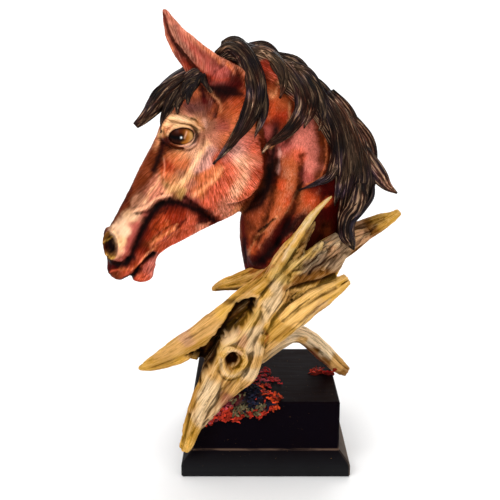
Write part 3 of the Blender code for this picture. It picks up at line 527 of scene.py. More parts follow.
# Driftwood limbs: (x, y, z), half width in the side view, half depth. The front leg hangs
# over the plinth's corner and the rear leg ends on the plinth's edge.
LIMBS = {
    "front leg": (
        (CORNER_X - 5, CORNER_Y - 9, -0.8 * LEG_DROP, 4.5, 3),
        (CORNER_X - 4.5, CORNER_Y - 10.5, -0.75 * LEG_DROP, 6.5, 4.5),
        (CORNER_X - 1, CORNER_Y - 10, -0.56 * LEG_DROP, 7.6, 7),
        (CORNER_X + 5.5, CORNER_Y - 5, -0.21 * LEG_DROP, 10.2, 10),
        (CORNER_X + 20, CORNER_Y + 4, 11, 16, 13),
        (-27, -50, 33, 19, 14), (-14, -43, 52, 15, 13), (-1, -38, 72, 13, 13), (14, -34, 94, 12, 12),
        (29, -32, 112, 9, 9)),
    "left blade": (
        (-109, -34, 18.5, 2, 2), (-98, -36, 23, 6, 4), (-81, -40, 33, 9.5, 5.5), (-64, -43, 45, 11.5, 6),
        (-47, -44, 57.5, 11.5, 6.5), (-30, -41, 71, 10, 8), (-10, -35, 86, 11, 10), (12, -28, 100, 12, 12)),
    "web under the blade": (
        (-68, -34, 33, 3.5, 4), (-56, -31, 33, 8, 5), (-46, -27, 34, 12, 6), (-34, -23, 46, 13, 7),
        (-18, -22, 62, 13, 9)),
    "little finger": (
        (-46.5, -6, 81.5, 2, 2), (-37, -7, 85, 5, 4), (-24, -8, 89, 7, 7), (-9, -10, 94, 9, 10),
        (8, -14, 103, 12, 12)),
    "trunk": (
        (-42, -36, 8, 12, 10), (-32, -28, 24, 14, 12), (-18, -20, 42, 16, 13), (-2, -14, 62, 19, 16),
        (16, -10, 83, 23, 23), (34, -7, 101, 24, 28), (51, -2, 115, 19, 25), (64, 2, 126, 12, 15)),
    "spike on the neck": (
        (0, -34, 90, 8, 7), (12.5, -37, 116, 6.6, 6), (26, -40, 137, 4.4, 4.3), (40, -40, 157.5, 3.2, 3.2),
        (54, -36, 170, 1.2, 1.2)),
    "second spike": (
        (12, -35, 90, 10, 8), (26, -39, 109, 9, 6), (38, -40, 122, 5, 4), (47, -39, 132, 1.6, 1.6)),
    "slab beside the spikes": (
        (22, -30, 84, 8, 8), (38, -32, 101, 12, 8), (54, -30, 116, 12, 8), (66, -24, 127, 8, 7),
        (76, -14, 129, 8, 6), (88, -3, 131, 5, 4)),
    "broken branch": (
        (-10, -44, 38, 9, 9), (8, -44, 56, 10, 10), (26, -42, 71, 11, 10), (44, -39, 84, 9, 9),
        (58, -36, 92, 7, 7), (69, -33, 98.5, 5, 5)),
    "lower lip of the break": (
        (10, -42, 53, 8, 7), (26, -42, 66, 7.5, 7.4), (40, -39.5, 76.5, 6.5, 6.6), (54, -36, 84.5, 5, 4.8)),
    "rear leg": (
        (-8, -30, 28, 8, 10), (12, -20, 40, 8, 9), (29, -8, 41, 8, 9), (43, 0, 30, 8, 9),
        (EDGE_X - 5, 6, 15, 8, 8), (EDGE_X + 6, 10, 3, 7, 6), (EDGE_X + 14.5, 11, -3, 5, 4)),
    "far branch": (
        (44, 0, 106, 11, 12), (65, 3, 117, 12, 11), (82, 3, 130, 10.2, 8), (98, 0, 139, 7.8, 6),
        (109, -3, 145.6, 5.2, 4.4), (115.2, -4.6, 150.6, 3.4, 3)),
    "heel under the neck": (
        (-18, -6, 84, 7, 10), (0, 2, 87, 12, 16), (22, 9, 95, 14, 20), (44, 12, 110, 14, 19),
        (60, 10, 124, 8, 12)),
    "buttress beside the knot": (
        (-4, -43, 58, 7, 8), (-8, -50, 38, 7, 8), (-14, -54, 22, 7, 8), (-26, -58, 11, 5.5, 7),
        (CORNER_X + 25, CORNER_Y - 1, 1, 4.5, 5), (CORNER_X + 14, CORNER_Y - 5, -12, 3.5, 4)),
    "blade on the far side": (
        (-26, -14, 58, 8, 8), (-6, 6, 78, 12, 10), (16, 24, 98, 13, 9), (38, 35, 122, 11, 6),
        (54, 38, 144, 7, 4.5), (66, 37, 164, 1.5, 1.5)),
    "root on the far side": (
        (4, -10, 66, 12, 12), (-10, 4, 46, 11, 11), (-22, 16, 26, 10, 10), (-31, 25, 10, 9, 9),
        (-38, 31, -4, 7, 8)),
}
# Ragged ends of split wood beside the spikes: foot (x, y, z), tip and half width
SPLINTERS = (
    ((18, -38, 106), (34, -40, 133), 4.0),
    ((28, -38, 104), (42, -41, 126), 4.5),
    ((36, -37, 108), (53, -38, 130), 4.0),
    ((46, -36, 108), (62, -34, 133), 4.5),
    ((8, -38, 104), (22, -40, 126), 4.0),
    ((58, -30, 112), (76, -24, 132), 4.5),
    ((24, -33, 116), (41, -33, 148), 4.2),
    ((22, -36, 110), (47, -39, 131.5), 4.4),
)
# Where the wood is worn smooth, so that its grain is faint: points (x, z), half width, how much
WOOD_CALM = (
    (((8, 58), (26, 70), (42, 81), (60, 93)), 9, 0.6),
    (((-100, 24), (-76, 40), (-50, 58), (-28, 76)), 13, 0.35),
    (((4, 98), (20, 124), (36, 148), (52, 170)), 6, 0.4),
    (((-40, 42), (-36, 50), (-26, 54)), 5, 0.6),
)
# Ridges and folds on the front of the wood: points (x, z), half width, height, least reach forward
WOOD_LINES = (
    (((-6, 86), (-8, 75), (-13, 65), (-21, 55.5), (-31, 50), (-38, 45), (-41, 36), (-43, 28)), 3.2, 2.2, -34),
    (((-33, 25), (-37, 17), (-40.5, 4), (-47, -4), (-51, -16)), 2.4, -1.4, -40),
    (((18, 91.5), (31, 95), (45, 98.5), (56, 101.5)), 3.0, -2.2, -30),
    (((0, 60), (2, 52), (0, 46)), 2.0, -0.5, -38),
    (((-2, 76), (2, 64), (-4, 52), (-12, 44)), 3.0, 1.6, -40),
    (((-64, -6), (-67, -22), (-70, -36)), 2.6, -1.6, -60),
    (((-52, -22), (-58, -34), (-64, -42)), 2.4, -1.8, -60),
    (((14, 68), (30, 79), (46, 88), (58, 93)), 2.4, -1.0, -34),
)
FLUTES = 6
FLUTE_DEPTH = 0.10
FLUTE_TWIST = 0.035
LUMP_DEPTH = 0.06
LUMP_TWIST = 0.09
PHASE_STEP = 1.7

# The knot low on the front leg: centre, ring radius, thickness of the rim, hole radius, depth, how
# far it reaches, how much taller than wide it is, and how its rim wavers and sits
KNOT = (-26.3, -62, 36.3)
KNOT_RADIUS = 9.0
KNOT_RIM = 2.4
KNOT_HOLE = 8.2
KNOT_DEPTH = 5.0
KNOT_REACH = 13
KNOT_STRETCH = 1.1
KNOT_WAVER = 0.6
KNOT_LOBES = 3
KNOT_BACK = 1
KNOT_SIDES = 40
RIM_SIDES = 12
BOWL_WALL = 3
# The deep hole in the knot's bowl: its middle from the knot's, its radius and its depth
PIT = (-2.0, 1.0)
PIT_RADIUS = 5.4
PIT_DEPTH = 7.5
PIT_WALL = 2
# How ragged the edges of the pit and of the bowl are, as shares of the cavity's
PIT_RAGGED = 0.9
KNOT_RAGGED = 0.4
KNOT_STROKES = (
    (((-36, 40), (-33, 46), (-26, 48), (-18, 45)), 1.7, 0.7, "wood_yellow"),
    (((-37, 38), (-36.5, 32), (-32, 26.5), (-26, 25), (-19.5, 28)), 1.9, 0.85, "bleached"),
    (((-19, 42), (-17.6, 36), (-19.6, 30.5), (-25, 28.4)), 2.4, 0.9, "wood_yellow"),
    (((-20.4, 36), (-22, 31.5)), 1.2, 0.6, "ochre"),
    (((-26, 44.5), (-21, 43)), 2.0, 0.8, "wood_pink"),
    (((-38.8, 29), (-34, 23.2), (-27, 21.6), (-20, 24), (-16, 28.5)), 1.0, 0.85, "wood_dark"),
)

# Leaf litter: heaps on the plinth's top (way in from its front corner, half sizes), heaps down
# its front face (way in from the corner, z, half sizes) and three by the rear foot
LITTER_TOP = (
    (59, 42, 7, 10, 3.2), (62, 60, 6, 8, 2.4),
    (24, 6, 16, 11, 6), (42, 9, 15, 13, 5.5), (58, 9, 13, 11, 4.5), (50, 22, 12, 12, 4.5),
    (68, 7, 7, 7, 3),
)
LITTER_FRONT = (
    (16, -11, 7, 4, 8), (27, -7, 9, 4, 9), (36, -10, 6, 4, 7), (46, -5, 8, 4, 8), (57, -6, 7, 3.5, 7),
    (66, -2, 6, 3, 5),
)
LITTER_REAR = ((EDGE_X - 13, 3, 7, 6, 2.5), (EDGE_X - 4, -1, 5, 4, 2.2), (EDGE_X - 17, -3, 4, 3, 1.8))
GOLDEN_TURN = math.pi * (3 - math.sqrt(5))
# Leaves that lie loose on the plinth: x, y, turn, length
LOOSE_LEAVES = ((9, -16, 0.4, 7), (7, -19, 2.0, 7), (5, -14, 3.1, 6), (11, -20, 1.2, 6), (-2, -8, 1.2, 6),
                (0, -5, 2.4, 6), (-5, -10, 0.3, 5), (13, -26, 2.9, 5), (2, -30, 0.8, 6), (4, -34, 2.2, 5))
# Broad colours of the mane in the side view
HAIR_STROKES = (
    (((-10, 285), (1, 282), (9, 273), (13, 262)), 3.0, 0.4, "mane_tan"),
    (((60, 236), (72, 218), (80, 200), (83, 184)), 5.0, 0.2, "wood_brown"),
    (((66, 214), (74, 198), (76, 184)), 3.0, 0.35, "mane_tan"),
    (((-44, 284), (-34, 290), (-24, 292)), 4.0, 0.35, "mane_tan"),
    (((10, 276), (20, 276), (32, 268)), 4.0, 0.35, "mane_tan"),
    (((60, 246), (72, 228), (84, 212)), 5.0, 0.3, "taupe"),
    (((84, 200), (94, 186), (104, 174)), 3.0, 0.5, "taupe"),
    (((80, 178), (73, 156), (68, 142), (71, 126)), 8.0, 0.6, "mane_black"),
    (((-4, 272), (-9, 258), (-10, 244), (-16, 230)), 2.0, 0.45, "brown"),
    (((20, 262), (32, 244), (42, 226)), 3.0, 0.35, "brown"),
    (((66, 186), (74, 172), (77, 156)), 5.0, 0.4, "dark_brown"),
    (((90, 173), (88, 165), (82, 157), (71, 147), (70, 134)), 1.6, 0.7, "mane_blue"),
)
# The eye's paint: iris and pupil, painted shadow and shade under the lids, a painted reflection and highlight
EYE_STROKES = (
    # painted shadow of the upper lid over the ball
    (((-63.5, 222.6), (-59.5, 222.2)), 2.2, 0.65, "brown"),
    (((-57, 220.5), (-56.6, 217), (-57.6, 213.4)), 3.3, 0.97, "iris"),
    (((-61.4, 213), (-57.5, 212.4)), 1.5, 0.8, "iris"),
    (((-54.8, 220), (-54.0, 216.5), (-55, 214)), 1.9, 0.8, "iris_light"),
    # painted reflection: a light streak on the cornea
    (((-58.2, 221.5), (-58.8, 219.7), (-60.2, 216.7)), 0.8, 0.75, "peach"),
    (((-70, 217.4), (-64, 216.6)), 4.0, 1.0, "pupil"),
    (((-62.5, 218.5), (-62, 215.5)), 1.6, 0.8, "pupil"),
    # painted shade along the edges of the lids over the ball
    (((-73, 217), (-70, 222), (-63.5, 224.6), (-57, 224), (-52.6, 220.6), (-51.8, 217)), 1.1, 0.9, "pupil"),
    (((-72, 214), (-66, 211.6), (-60, 211)), 0.9, 0.8, "pupil"),
    # painted highlight: a white glint
    (((-62.75, 217.0), (-62.7, 217.2)), 0.75, 1.0, "white"),
)

# Resin paints as they look on a screen
PAINT = {
    "chestnut": (138, 62, 36), "brown": (98, 43, 24), "dark_brown": (56, 22, 14),
    "black_brown": (26, 10, 8), "orange": (216, 114, 70), "tan_orange": (232, 150, 100),
    "orange_brown": (172, 82, 46), "orange_red": (184, 70, 36), "coral": (206, 90, 62),
    "deep_red": (146, 46, 26), "maroon": (66, 20, 14), "pink": (206, 112, 96), "rose": (174, 82, 72),
    "salmon": (226, 138, 108), "peach": (238, 170, 132), "cream": (246, 188, 136), "pale": (250, 200, 160),
    "lilac": (250, 176, 158), "lid_brown": (120, 78, 36), "lid_pink": (210, 156, 136),
    "pale_yellow": (240, 184, 124), "taupe": (156, 98, 74), "purple_grey": (98, 56, 50),
    "mane_black": (22, 13, 11), "mane_brown": (84, 50, 38), "mane_blue": (80, 74, 94),
    "mane_tan": (172, 138, 108), "ochre": (194, 144, 66), "wood_yellow": (214, 162, 76),
    "wood_tan": (206, 156, 92), "grey_wood": (156, 126, 98), "pale_wood": (232, 202, 162),
    "gold_wood": (238, 186, 108), "bleached": (224, 188, 142), "wood_pink": (204, 152, 110),
    "wood_brown": (132, 84, 38), "wood_dark": (52, 28, 12), "wood_light": (240, 206, 150),
    "olive": (150, 120, 58), "lichen": (208, 170, 100), "leaf_coral": (222, 66, 46),
    "leaf_red": (176, 28, 32), "leaf_pink": (204, 84, 96), "leaf_orange": (232, 80, 38),
    "leaf_olive": (118, 112, 82), "leaf_blue": (36, 42, 60), "iris": (184, 112, 44),
    "iris_light": (226, 172, 106), "pupil": (12, 6, 4), "eye_brown": (62, 28, 12), "white": (255, 255, 255),
    "plinth_black": (23, 21, 24), "plinth_top": (26, 20, 17), "plinth_foot": (36, 36, 37),
    "plinth_worn": (126, 100, 84), "plinth_lit_side": (104, 90, 80),
}
# What the gloss adds to every paint, taken off beforehand
GLOSS = 0.006
PAINT_LEAST = 0.0005
# How far a dab reaches thinly, and how sharp a stroke's edge is
DAB_TAIL = 1e-4
STROKE_EDGE = 1.2

# Airbrushed ground of the head in its own plane: each paint's patches, as along, up, reach
HEAD_DABS = {
    # dark_brown patches: painted shadow at the ear's root
    "dark_brown": ((-36, 258, 6), (-30, 252, 6)),
    "brown": ((-52, 264, 7), (-78, 210, 4), (-71, 210, 4), (-84, 198, 4), (-95, 183, 4), (-88, 197, 4),
        (-104, 173, 5), (-112, 158, 4), (-118, 148, 4), (-96, 128, 4), (-126, 136, 4), (-130, 128, 4),
        (-129, 118, 3.5), (-118, 101, 4)),
    "orange": ((-47, 254, 6), (-28, 214, 6), (-12, 228, 9), (-66, 198, 5), (-60, 194, 4), (-74, 183, 4),
        (-46, 184, 4), (-36, 188, 4), (-50, 172, 4), (-72, 136, 3.5), (-85, 129, 3.5)),
    "orange_brown": ((-56, 250, 6), (-24, 236, 6), (-36, 236, 4), (-74, 222, 4), (-79, 218, 4),
        (-88, 202, 4), (-96, 188, 5), (0, 168, 6), (-8, 156, 6)),
    "purple_grey": ((-53, 242, 7), (-43, 242, 6), (-57, 240, 4)),
    "taupe": ((-48, 238, 4), (-62, 235, 5), (-47, 217, 5), (-38, 226, 6), (-62, 186, 4)),
    "chestnut": ((-64, 246, 7), (-72, 237, 6), (-31, 231, 4)),
    "cream": ((-56, 230, 4), (-66, 231, 4), (-106, 150, 4), (-114, 130, 3.5)),
    "tan_orange": ((-49, 227, 4), (-62, 203, 5), (-66, 180, 5), (-14, 152, 4)),
    "peach": ((-45, 210, 4), (-54, 206, 4), (-96, 161, 5), (-14, 198, 6), (-14, 182, 6), (-18, 172, 5),
        (-114, 121, 3.5), (-100, 152, 4)),
    "salmon": ((-36, 216, 5), (-80, 176, 5), (-88, 168, 5), (-56, 178, 4), (-28, 162, 5), (-24, 154, 5),
        (-22, 164, 4), (-6, 196, 6), (-47, 138.5, 3)),
    "rose": ((-30, 226, 5), (-54, 168, 3.5), (-103, 134, 3.5), (-108, 122, 4), (-112, 116, 3.5),
        (-92, 154, 3)),
    "orange_red": ((-18, 240, 6), (-72, 192, 4), (-34, 200, 4), (-82, 148, 5), (-81, 140, 5),
        (-103, 108, 4)),
    "pink": ((-12, 214, 7), (-26, 202, 5), (-103, 143, 3.5), (-90, 103, 4), (-87, 110, 4)),
    "olive": ((-76, 178, 3),),
    "lilac": ((-50, 193, 4), (-43, 198, 4), (-40, 206, 4), (-18, 206, 6)),
    "wood_tan": ((-62, 172, 2.6),),
    "coral": ((-24, 192, 6), (-20, 184, 6), (-28, 176, 6), (-34, 166, 6), (-36, 150, 4), (-40, 156, 4),
        (-10, 168, 6), (-4, 178, 6), (-4, 206, 7), (-54, 146, 4.5), (-56, 136, 4), (-67, 130, 4),
        (-76, 123, 4), (-113, 102, 3), (-108, 104, 3), (-98, 113, 4), (-97, 98, 4)),
    "deep_red": ((0, 190, 7), (-69, 150, 5), (-92, 134, 4), (-62, 150, 3.5), (-98, 122, 4), (-104, 95, 4)),
    "maroon": ((-46, 146, 4), (-122, 107, 4), (-110, 96, 3)),
    "pale": ((-113, 146, 4), (-117, 139, 4), (-110, 139, 4)),
}
# Strokes over it, among them painted shadow and shade in grooves, the mouth and the ear's root:
# points, half width, strength, paint
HEAD_STROKES = (
    (((-75, 222), (-80, 213), (-84, 206)), 2.2, 0.75, "tan_orange"),
    (((-58, 241.5), (-50, 240.5), (-42, 240)), 2.4, 0.55, "purple_grey"),
    (((-85, 205), (-94, 187), (-98, 180), (-106, 166), (-113, 155), (-121, 145)), 3.6, 0.9, "brown"),
    (((-104, 172), (-113.5, 156), (-122.5, 143.5)), 2.0, 0.7, "dark_brown"),
    (((-83, 192), (-90, 178), (-97, 166), (-104, 157)), 3.6, 0.7, "brown"),
    (((-80, 184), (-86, 174), (-94, 163)), 1.2, 0.5, "cream"),
    (((-77, 214), (-77, 209), (-79, 203), (-81.5, 196), (-85, 188)), 2.9, 0.92, "black_brown"),
    (((-75, 197), (-71, 192)), 2.6, 0.6, "deep_red"),
    # pale yellow along the face's crest, partly the paint's own and partly a painted highlight on the raised
    # crest
    (((-42, 211), (-53, 192), (-62, 179), (-73, 171.5)), 4.0, 0.6, "pale_yellow"),
    (((-47, 206), (-56, 190), (-64, 180)), 1.4, 0.5, "cream"),
    (((-31, 192), (-37, 182), (-45, 174), (-54, 168)), 2.6, 0.7, "tan_orange"),
    (((-40, 208), (-45.8, 197), (-50, 190)), 3.0, 0.6, "lilac"),
    (((-74, 227), (-70, 231.8), (-63.3, 231.6), (-58.5, 230.4), (-53.8, 228.4),
      (-49.5, 224.8)), 2.5, 0.93, "cream"),
    (((-66, 232.4), (-59, 231)), 1.5, 0.6, "pale"),
    (((-60, 235.5), (-53, 234.5)), 1.8, 0.5, "salmon"),
    (((-54, 231.6), (-51, 230.4), (-48.6, 228.6), (-46.2, 225.6), (-45.3, 223.9)), 1.5, 0.7, "lid_brown"),
    (((-71.5, 230.8), (-68.9, 230.1), (-66.5, 228.3)), 1.0, 0.55, "lid_brown"),
    (((-67.7, 228.6), (-62.3, 227.9), (-57.6, 226.9), (-53.4, 225.6), (-50.4, 223.9),
      (-48.3, 222.1)), 1.0, 0.7, "lid_brown"),
    (((-73.4, 218.5), (-70, 224.2), (-63.5, 226.2), (-57.6, 225.8), (-52.6, 223.7),
      (-49.2, 220.9)), 1.25, 0.93, "cream"),
    (((-76.5, 222.5), (-74.8, 218)), 1.6, 0.8, "lid_brown"),
    (((-76.5, 226.5), (-78.2, 221), (-79.5, 217)), 1.2, 0.7, "pale_yellow"),
    (((-77.5, 214.5), (-74, 214), (-72.4, 216.5)), 2.4, 0.9, "dark_brown"),
    (((-73.5, 211.5), (-68.5, 209.2), (-63.5, 207.6)), 1.7, 0.85, "dark_brown"),
    (((-70, 209.4), (-67.1, 208), (-63.5, 206.2)), 0.6, 0.6, "cream"),
    (((-62, 209.2), (-56.4, 209.2), (-52, 212.4), (-50.4, 217.3)), 1.4, 0.85, "lid_pink"),
    (((-51.5, 219), (-51.6, 215.8), (-53.8, 212.4), (-58, 210.6)), 0.7, 0.8, "pale"),
    (((-61.2, 206.7), (-56.4, 206.1), (-52, 208.8), (-49, 213.1), (-48.4, 217.3)), 0.8, 0.5, "brown"),
    (((-47, 222), (-45.5, 216), (-46, 209)), 3.0, 0.5, "taupe"),
    (((-44.4, 218.5), (-44.7, 211)), 1.1, 0.45, "brown"),
    (((-44.4, 231), (-43.2, 226)), 1.6, 0.55, "lid_pink"),
    (((-73, 214.5), (-75.4, 212.5), (-78, 209)), 2.2, 0.9, "dark_brown"),
    (((-38, 231), (-35.5, 237), (-37, 243)), 1.6, 0.5, "brown"),
    (((-46, 258), (-39.2, 249), (-35.5, 244), (-34.3, 240), (-35.4, 233)), 1.5, 0.85, "dark_brown"),
    (((-42, 256), (-35.5, 249), (-31.5, 243), (-31, 238)), 1.3, 0.4, "tan_orange"),
    # painted shadow at the ear's root, where it goes into the mane
    (((-38, 260), (-26, 257.5), (-13, 258)), 4.6, 0.85, "maroon"),
    (((-38, 256), (-26, 251.5), (-14, 251)), 4.6, 0.95, "black_brown"),
    (((-36, 262), (-28, 257), (-20, 254)), 3.0, 0.85, "black_brown"),
    (((-34, 243), (-24, 241), (-14, 242)), 3.0, 0.6, "chestnut"),
    (((-76.7, 200), (-76.3, 190), (-76, 180)), 0.8, 0.3, "peach"),
    # painted shadow in the groove from the cheek round the muzzle to the nostril
    (((-33, 142.5), (-37.4, 145.7), (-45.2, 152), (-54.9, 158.6), (-66.6, 162), (-74, 161.6), (-81.3, 158.4),
      (-88, 151.8), (-94, 143), (-100.2, 129.5), (-104, 121.5), (-108, 113.6)), 6.4, 0.93, "maroon"),
    (((-35, 144), (-45.2, 152), (-54.9, 158.6), (-66.6, 162.6), (-74, 162.6), (-81.3, 159), (-88, 152.4),
      (-94, 143.4), (-100.2, 129.9), (-104, 122), (-108, 114), (-111.6, 110)), 4.0, 0.95, "black_brown"),
    (((-59, 147.4), (-66, 140), (-73, 133.7), (-83, 125)), 1.3, 0.6, "maroon"),
    (((-64, 148), (-72, 141), (-82, 132)), 0.8, 0.5, "deep_red"),
    (((-66, 144), (-74, 137), (-86, 128.6)), 0.9, 0.6, "tan_orange"),
    (((-76, 154), (-84, 146), (-91, 136)), 0.9, 0.5, "maroon"),
    (((-39, 141.8), (-47, 137), (-56, 131.6)), 1.3, 0.6, "salmon"),
    (((-95, 152), (-101.5, 142), (-105, 133), (-109.5, 123), (-113, 116.5)), 2.6, 0.7, "rose"),
    # painted shadow of that groove under the nostril
    (((-106, 117), (-110, 111.6), (-114, 110), (-118.7, 110.8), (-124.5, 113.4)), 2.6, 0.93, "black_brown"),
    (((-74, 157.4), (-80.8, 153.3)), 1.6, 0.7, "black_brown"),
    (((-86, 140.7), (-79.7, 134.5)), 1.4, 0.5, "dark_brown"),
    (((-67.9, 139.3), (-61, 146)), 1.4, 0.5, "dark_brown"),
    (((-103.4, 155), (-94.4, 157.6), (-88, 162.8), (-80, 167.2), (-72, 169)), 1.3, 0.85, "peach"),
    (((-82, 132), (-74.4, 146.4)), 1.6, 0.35, "orange"),
    (((-14, 160), (-24, 155.6), (-34, 152.4)), 3.0, 0.55, "salmon"),
    (((-90, 128), (-81.4, 132), (-72, 138)), 1.2, 0.45, "orange"),
    (((-88, 123), (-76.4, 131.8), (-66, 138)), 1.2, 0.5, "rose"),
    (((-109, 94.5), (-104.5, 99.5), (-101, 103.7), (-97.4, 108.6), (-92.1, 113.3),
      (-88, 116.1)), 2.4, 0.9, "maroon"),
    # painted shade in the mouth's slit and its corner
    (((-100, 105), (-103.6, 101), (-108.6, 96)), 3.6, 0.97, "black_brown"),
    (((-91, 114), (-86.5, 117.2)), 3.6, 0.97, "black_brown"),
    (((-97, 112), (-92, 118.6), (-87, 122)), 1.0, 0.6, "tan_orange"),
    (((-96, 104), (-90, 112)), 1.2, 0.6, "rose"),
    (((-116, 106), (-108, 105), (-100, 110), (-94, 116)), 1.3, 0.5, "orange"),
    (((-124, 103.5), (-118, 105.6)), 1.0, 0.6, "coral"),
    (((-120, 137), (-114, 142), (-107, 149), (-101, 152.4)), 4.2, 0.75, "pale"),
    (((-122, 140), (-117.6, 136), (-115.4, 130), (-115, 123)), 1.2, 0.5, "cream"),
    (((-124, 140), (-128.5, 134), (-131, 126), (-129, 118)), 2.4, 0.85, "brown"),
    (((-120.5, 144.5), (-124, 141), (-128, 133)), 2.0, 0.8, "dark_brown"),
    (((-51, 247), (-46.5, 248), (-43, 246)), 2.2, 0.6, "dark_brown"),
    (((-46, 254), (-44.2, 249.5), (-43, 245)), 4.2, 1.0, "maroon"),
    (((-46, 254), (-44, 250)), 2.6, 0.7, "black_brown"),
    (((-40.5, 240), (-38.5, 236.5), (-36.5, 234)), 2.0, 0.5, "purple_grey"),
    (((-57, 243), (-51, 239.8), (-46, 239)), 2.0, 0.75, "purple_grey"),
    (((-42, 240), (-38, 236)), 2.4, 0.5, "brown"),
    (((-31, 234), (-28, 240)), 2.2, 0.5, "brown"),
    # painted shadow under the jaw
    (((-8, 149), (-2.5, 155), (3, 163)), 2.8, 0.95, "black_brown"),
)
# The nostril: its dark inside, dark paint with painted shade in the pit, and the amber at its top and bottom
NOSTRIL_STROKES = (
    (((-124.5, 132), (-122, 122)), 7.5, 1.0, "dark_brown"),
    (((-125, 136.5), (-127.5, 131)), 3.0, 0.85, "lid_brown"),
    (((-123, 129), (-122, 122.5)), 4.2, 1.0, "black_brown"),
    (((-127.5, 119), (-122.7, 116.8), (-118.6, 118)), 3.0, 0.85, "lid_brown"),
    (((-126, 117.6), (-122.6, 116), (-119, 117.2)), 1.4, 0.7, "ochre"),
    (((-128.4, 129), (-124.5, 131.2), (-120.8, 133.9)), 0.8, 0.6, "ochre"),
)
# The ears in the same plane, with painted shadow at their root where they meet the mane
EAR_STROKES = (
    (((-36, 262), (-50, 276), (-60, 287), (-68, 298), (-74, 312)), 12.0, 1.0, "rose"),
    (((-24, 274), (-36, 284), (-48, 291), (-58, 301), (-68, 313)), 3.2, 0.6, "salmon"),
    (((-44, 268), (-56, 281), (-64, 292), (-70, 304)), 4.5, 0.6, "taupe"),
    (((-51.4, 277.8), (-61.2, 290.8), (-65.3, 301.5)), 2.6, 0.75, "purple_grey"),
    (((-50, 264), (-60, 277), (-67, 289)), 4.0, 0.45, "maroon"),
    (((-53.7, 271.2), (-60.2, 282.1), (-69.8, 297.2), (-71.8, 307.8), (-75.5, 314)), 1.6, 0.8, "dark_brown"),
    (((-68, 286), (-73, 296)), 1.8, 0.7, "orange"),
    (((-50, 276), (-54, 284), (-58, 290)), 0.8, 0.7, "maroon"),
    (((-45, 274), (-49, 283), (-54, 290)), 0.7, 0.5, "deep_red"),
    (((-56, 274), (-47, 268), (-38, 263)), 4.5, 0.8, "deep_red"),
    (((-50, 268), (-42, 262), (-34, 258)), 4.0, 0.8, "maroon"),
    (((-38, 269), (-30, 269), (-22, 271)), 4.2, 0.85, "rose"),
    (((-30, 276), (-36, 283), (-46, 290)), 2.0, 0.5, "orange"),
    (((-24, 275), (-19, 268)), 1.6, 0.8, "orange"),
    (((-42, 266), (-34, 262.5), (-24, 262)), 1.6, 0.6, "deep_red"),
    # painted shadow at the ear's root, where it goes into the mane
    (((-52, 256), (-42, 253), (-28, 253)), 5.0, 0.9, "maroon"),
    (((-46, 252), (-34, 250), (-24, 250)), 4.5, 0.9, "black_brown"),
)

# The near side of the neck in the side view: patches as x, z over the plinth's top, reach
NECK_DABS = {
    "dark_brown": ((-24, 270, 12), (8, 228, 4), (2, 124, 5), (44, 146, 5), (40, 132, 6), (68, 190, 8),
        (60, 205, 8), (72, 160, 8)),
    "deep_red": ((0, 266, 8), (12, 230, 6), (26, 148, 5)),
    "orange_brown": ((6, 254, 6), (12, 244, 5), (19, 193, 5), (24, 176, 5), (8, 168, 4), (12, 156, 5),
        (4, 148, 4), (-2, 139, 4), (-8, 130, 4), (32, 156, 5)),
    "orange_red": ((4, 240, 7), (14, 176, 4), (18, 166, 5), (-12, 121, 4), (36, 166, 5), (53, 162, 2.6)),
    "rose": ((6, 216, 6), (16, 208, 6), (34, 182, 4)),
    "chestnut": ((16, 222, 5), (14, 187, 4), (0, 157, 4), (-10, 148, 4), (22, 156, 4), (2, 263, 4)),
    # pink patches, partly the paint's own pink and partly a painted highlight on the neck's swell
    "pink": ((26, 214, 6), (36, 212, 5), (39, 202, 5), (40, 192, 5)),
    "coral": ((27, 201, 4.5),),
    "brown": ((47, 214, 5), (48, 198, 5), (44, 184, 4), (-14, 139, 4), (-17, 128, 4), (8, 258, 3),
        (10, 238, 3), (52, 138, 5)),
    "orange": ((26, 168, 4),),
    "maroon": ((-19, 114, 5), (-13, 111, 4), (17, 146, 5), (10, 134, 5), (-6, 113, 5), (40, 172, 4),
        (48, 173, 5), (60, 181, 5), (60, 168, 5), (59, 158, 4), (54, 149, 5), (62, 140, 6)),
    "tan_orange": ((5, 250, 3),),
}
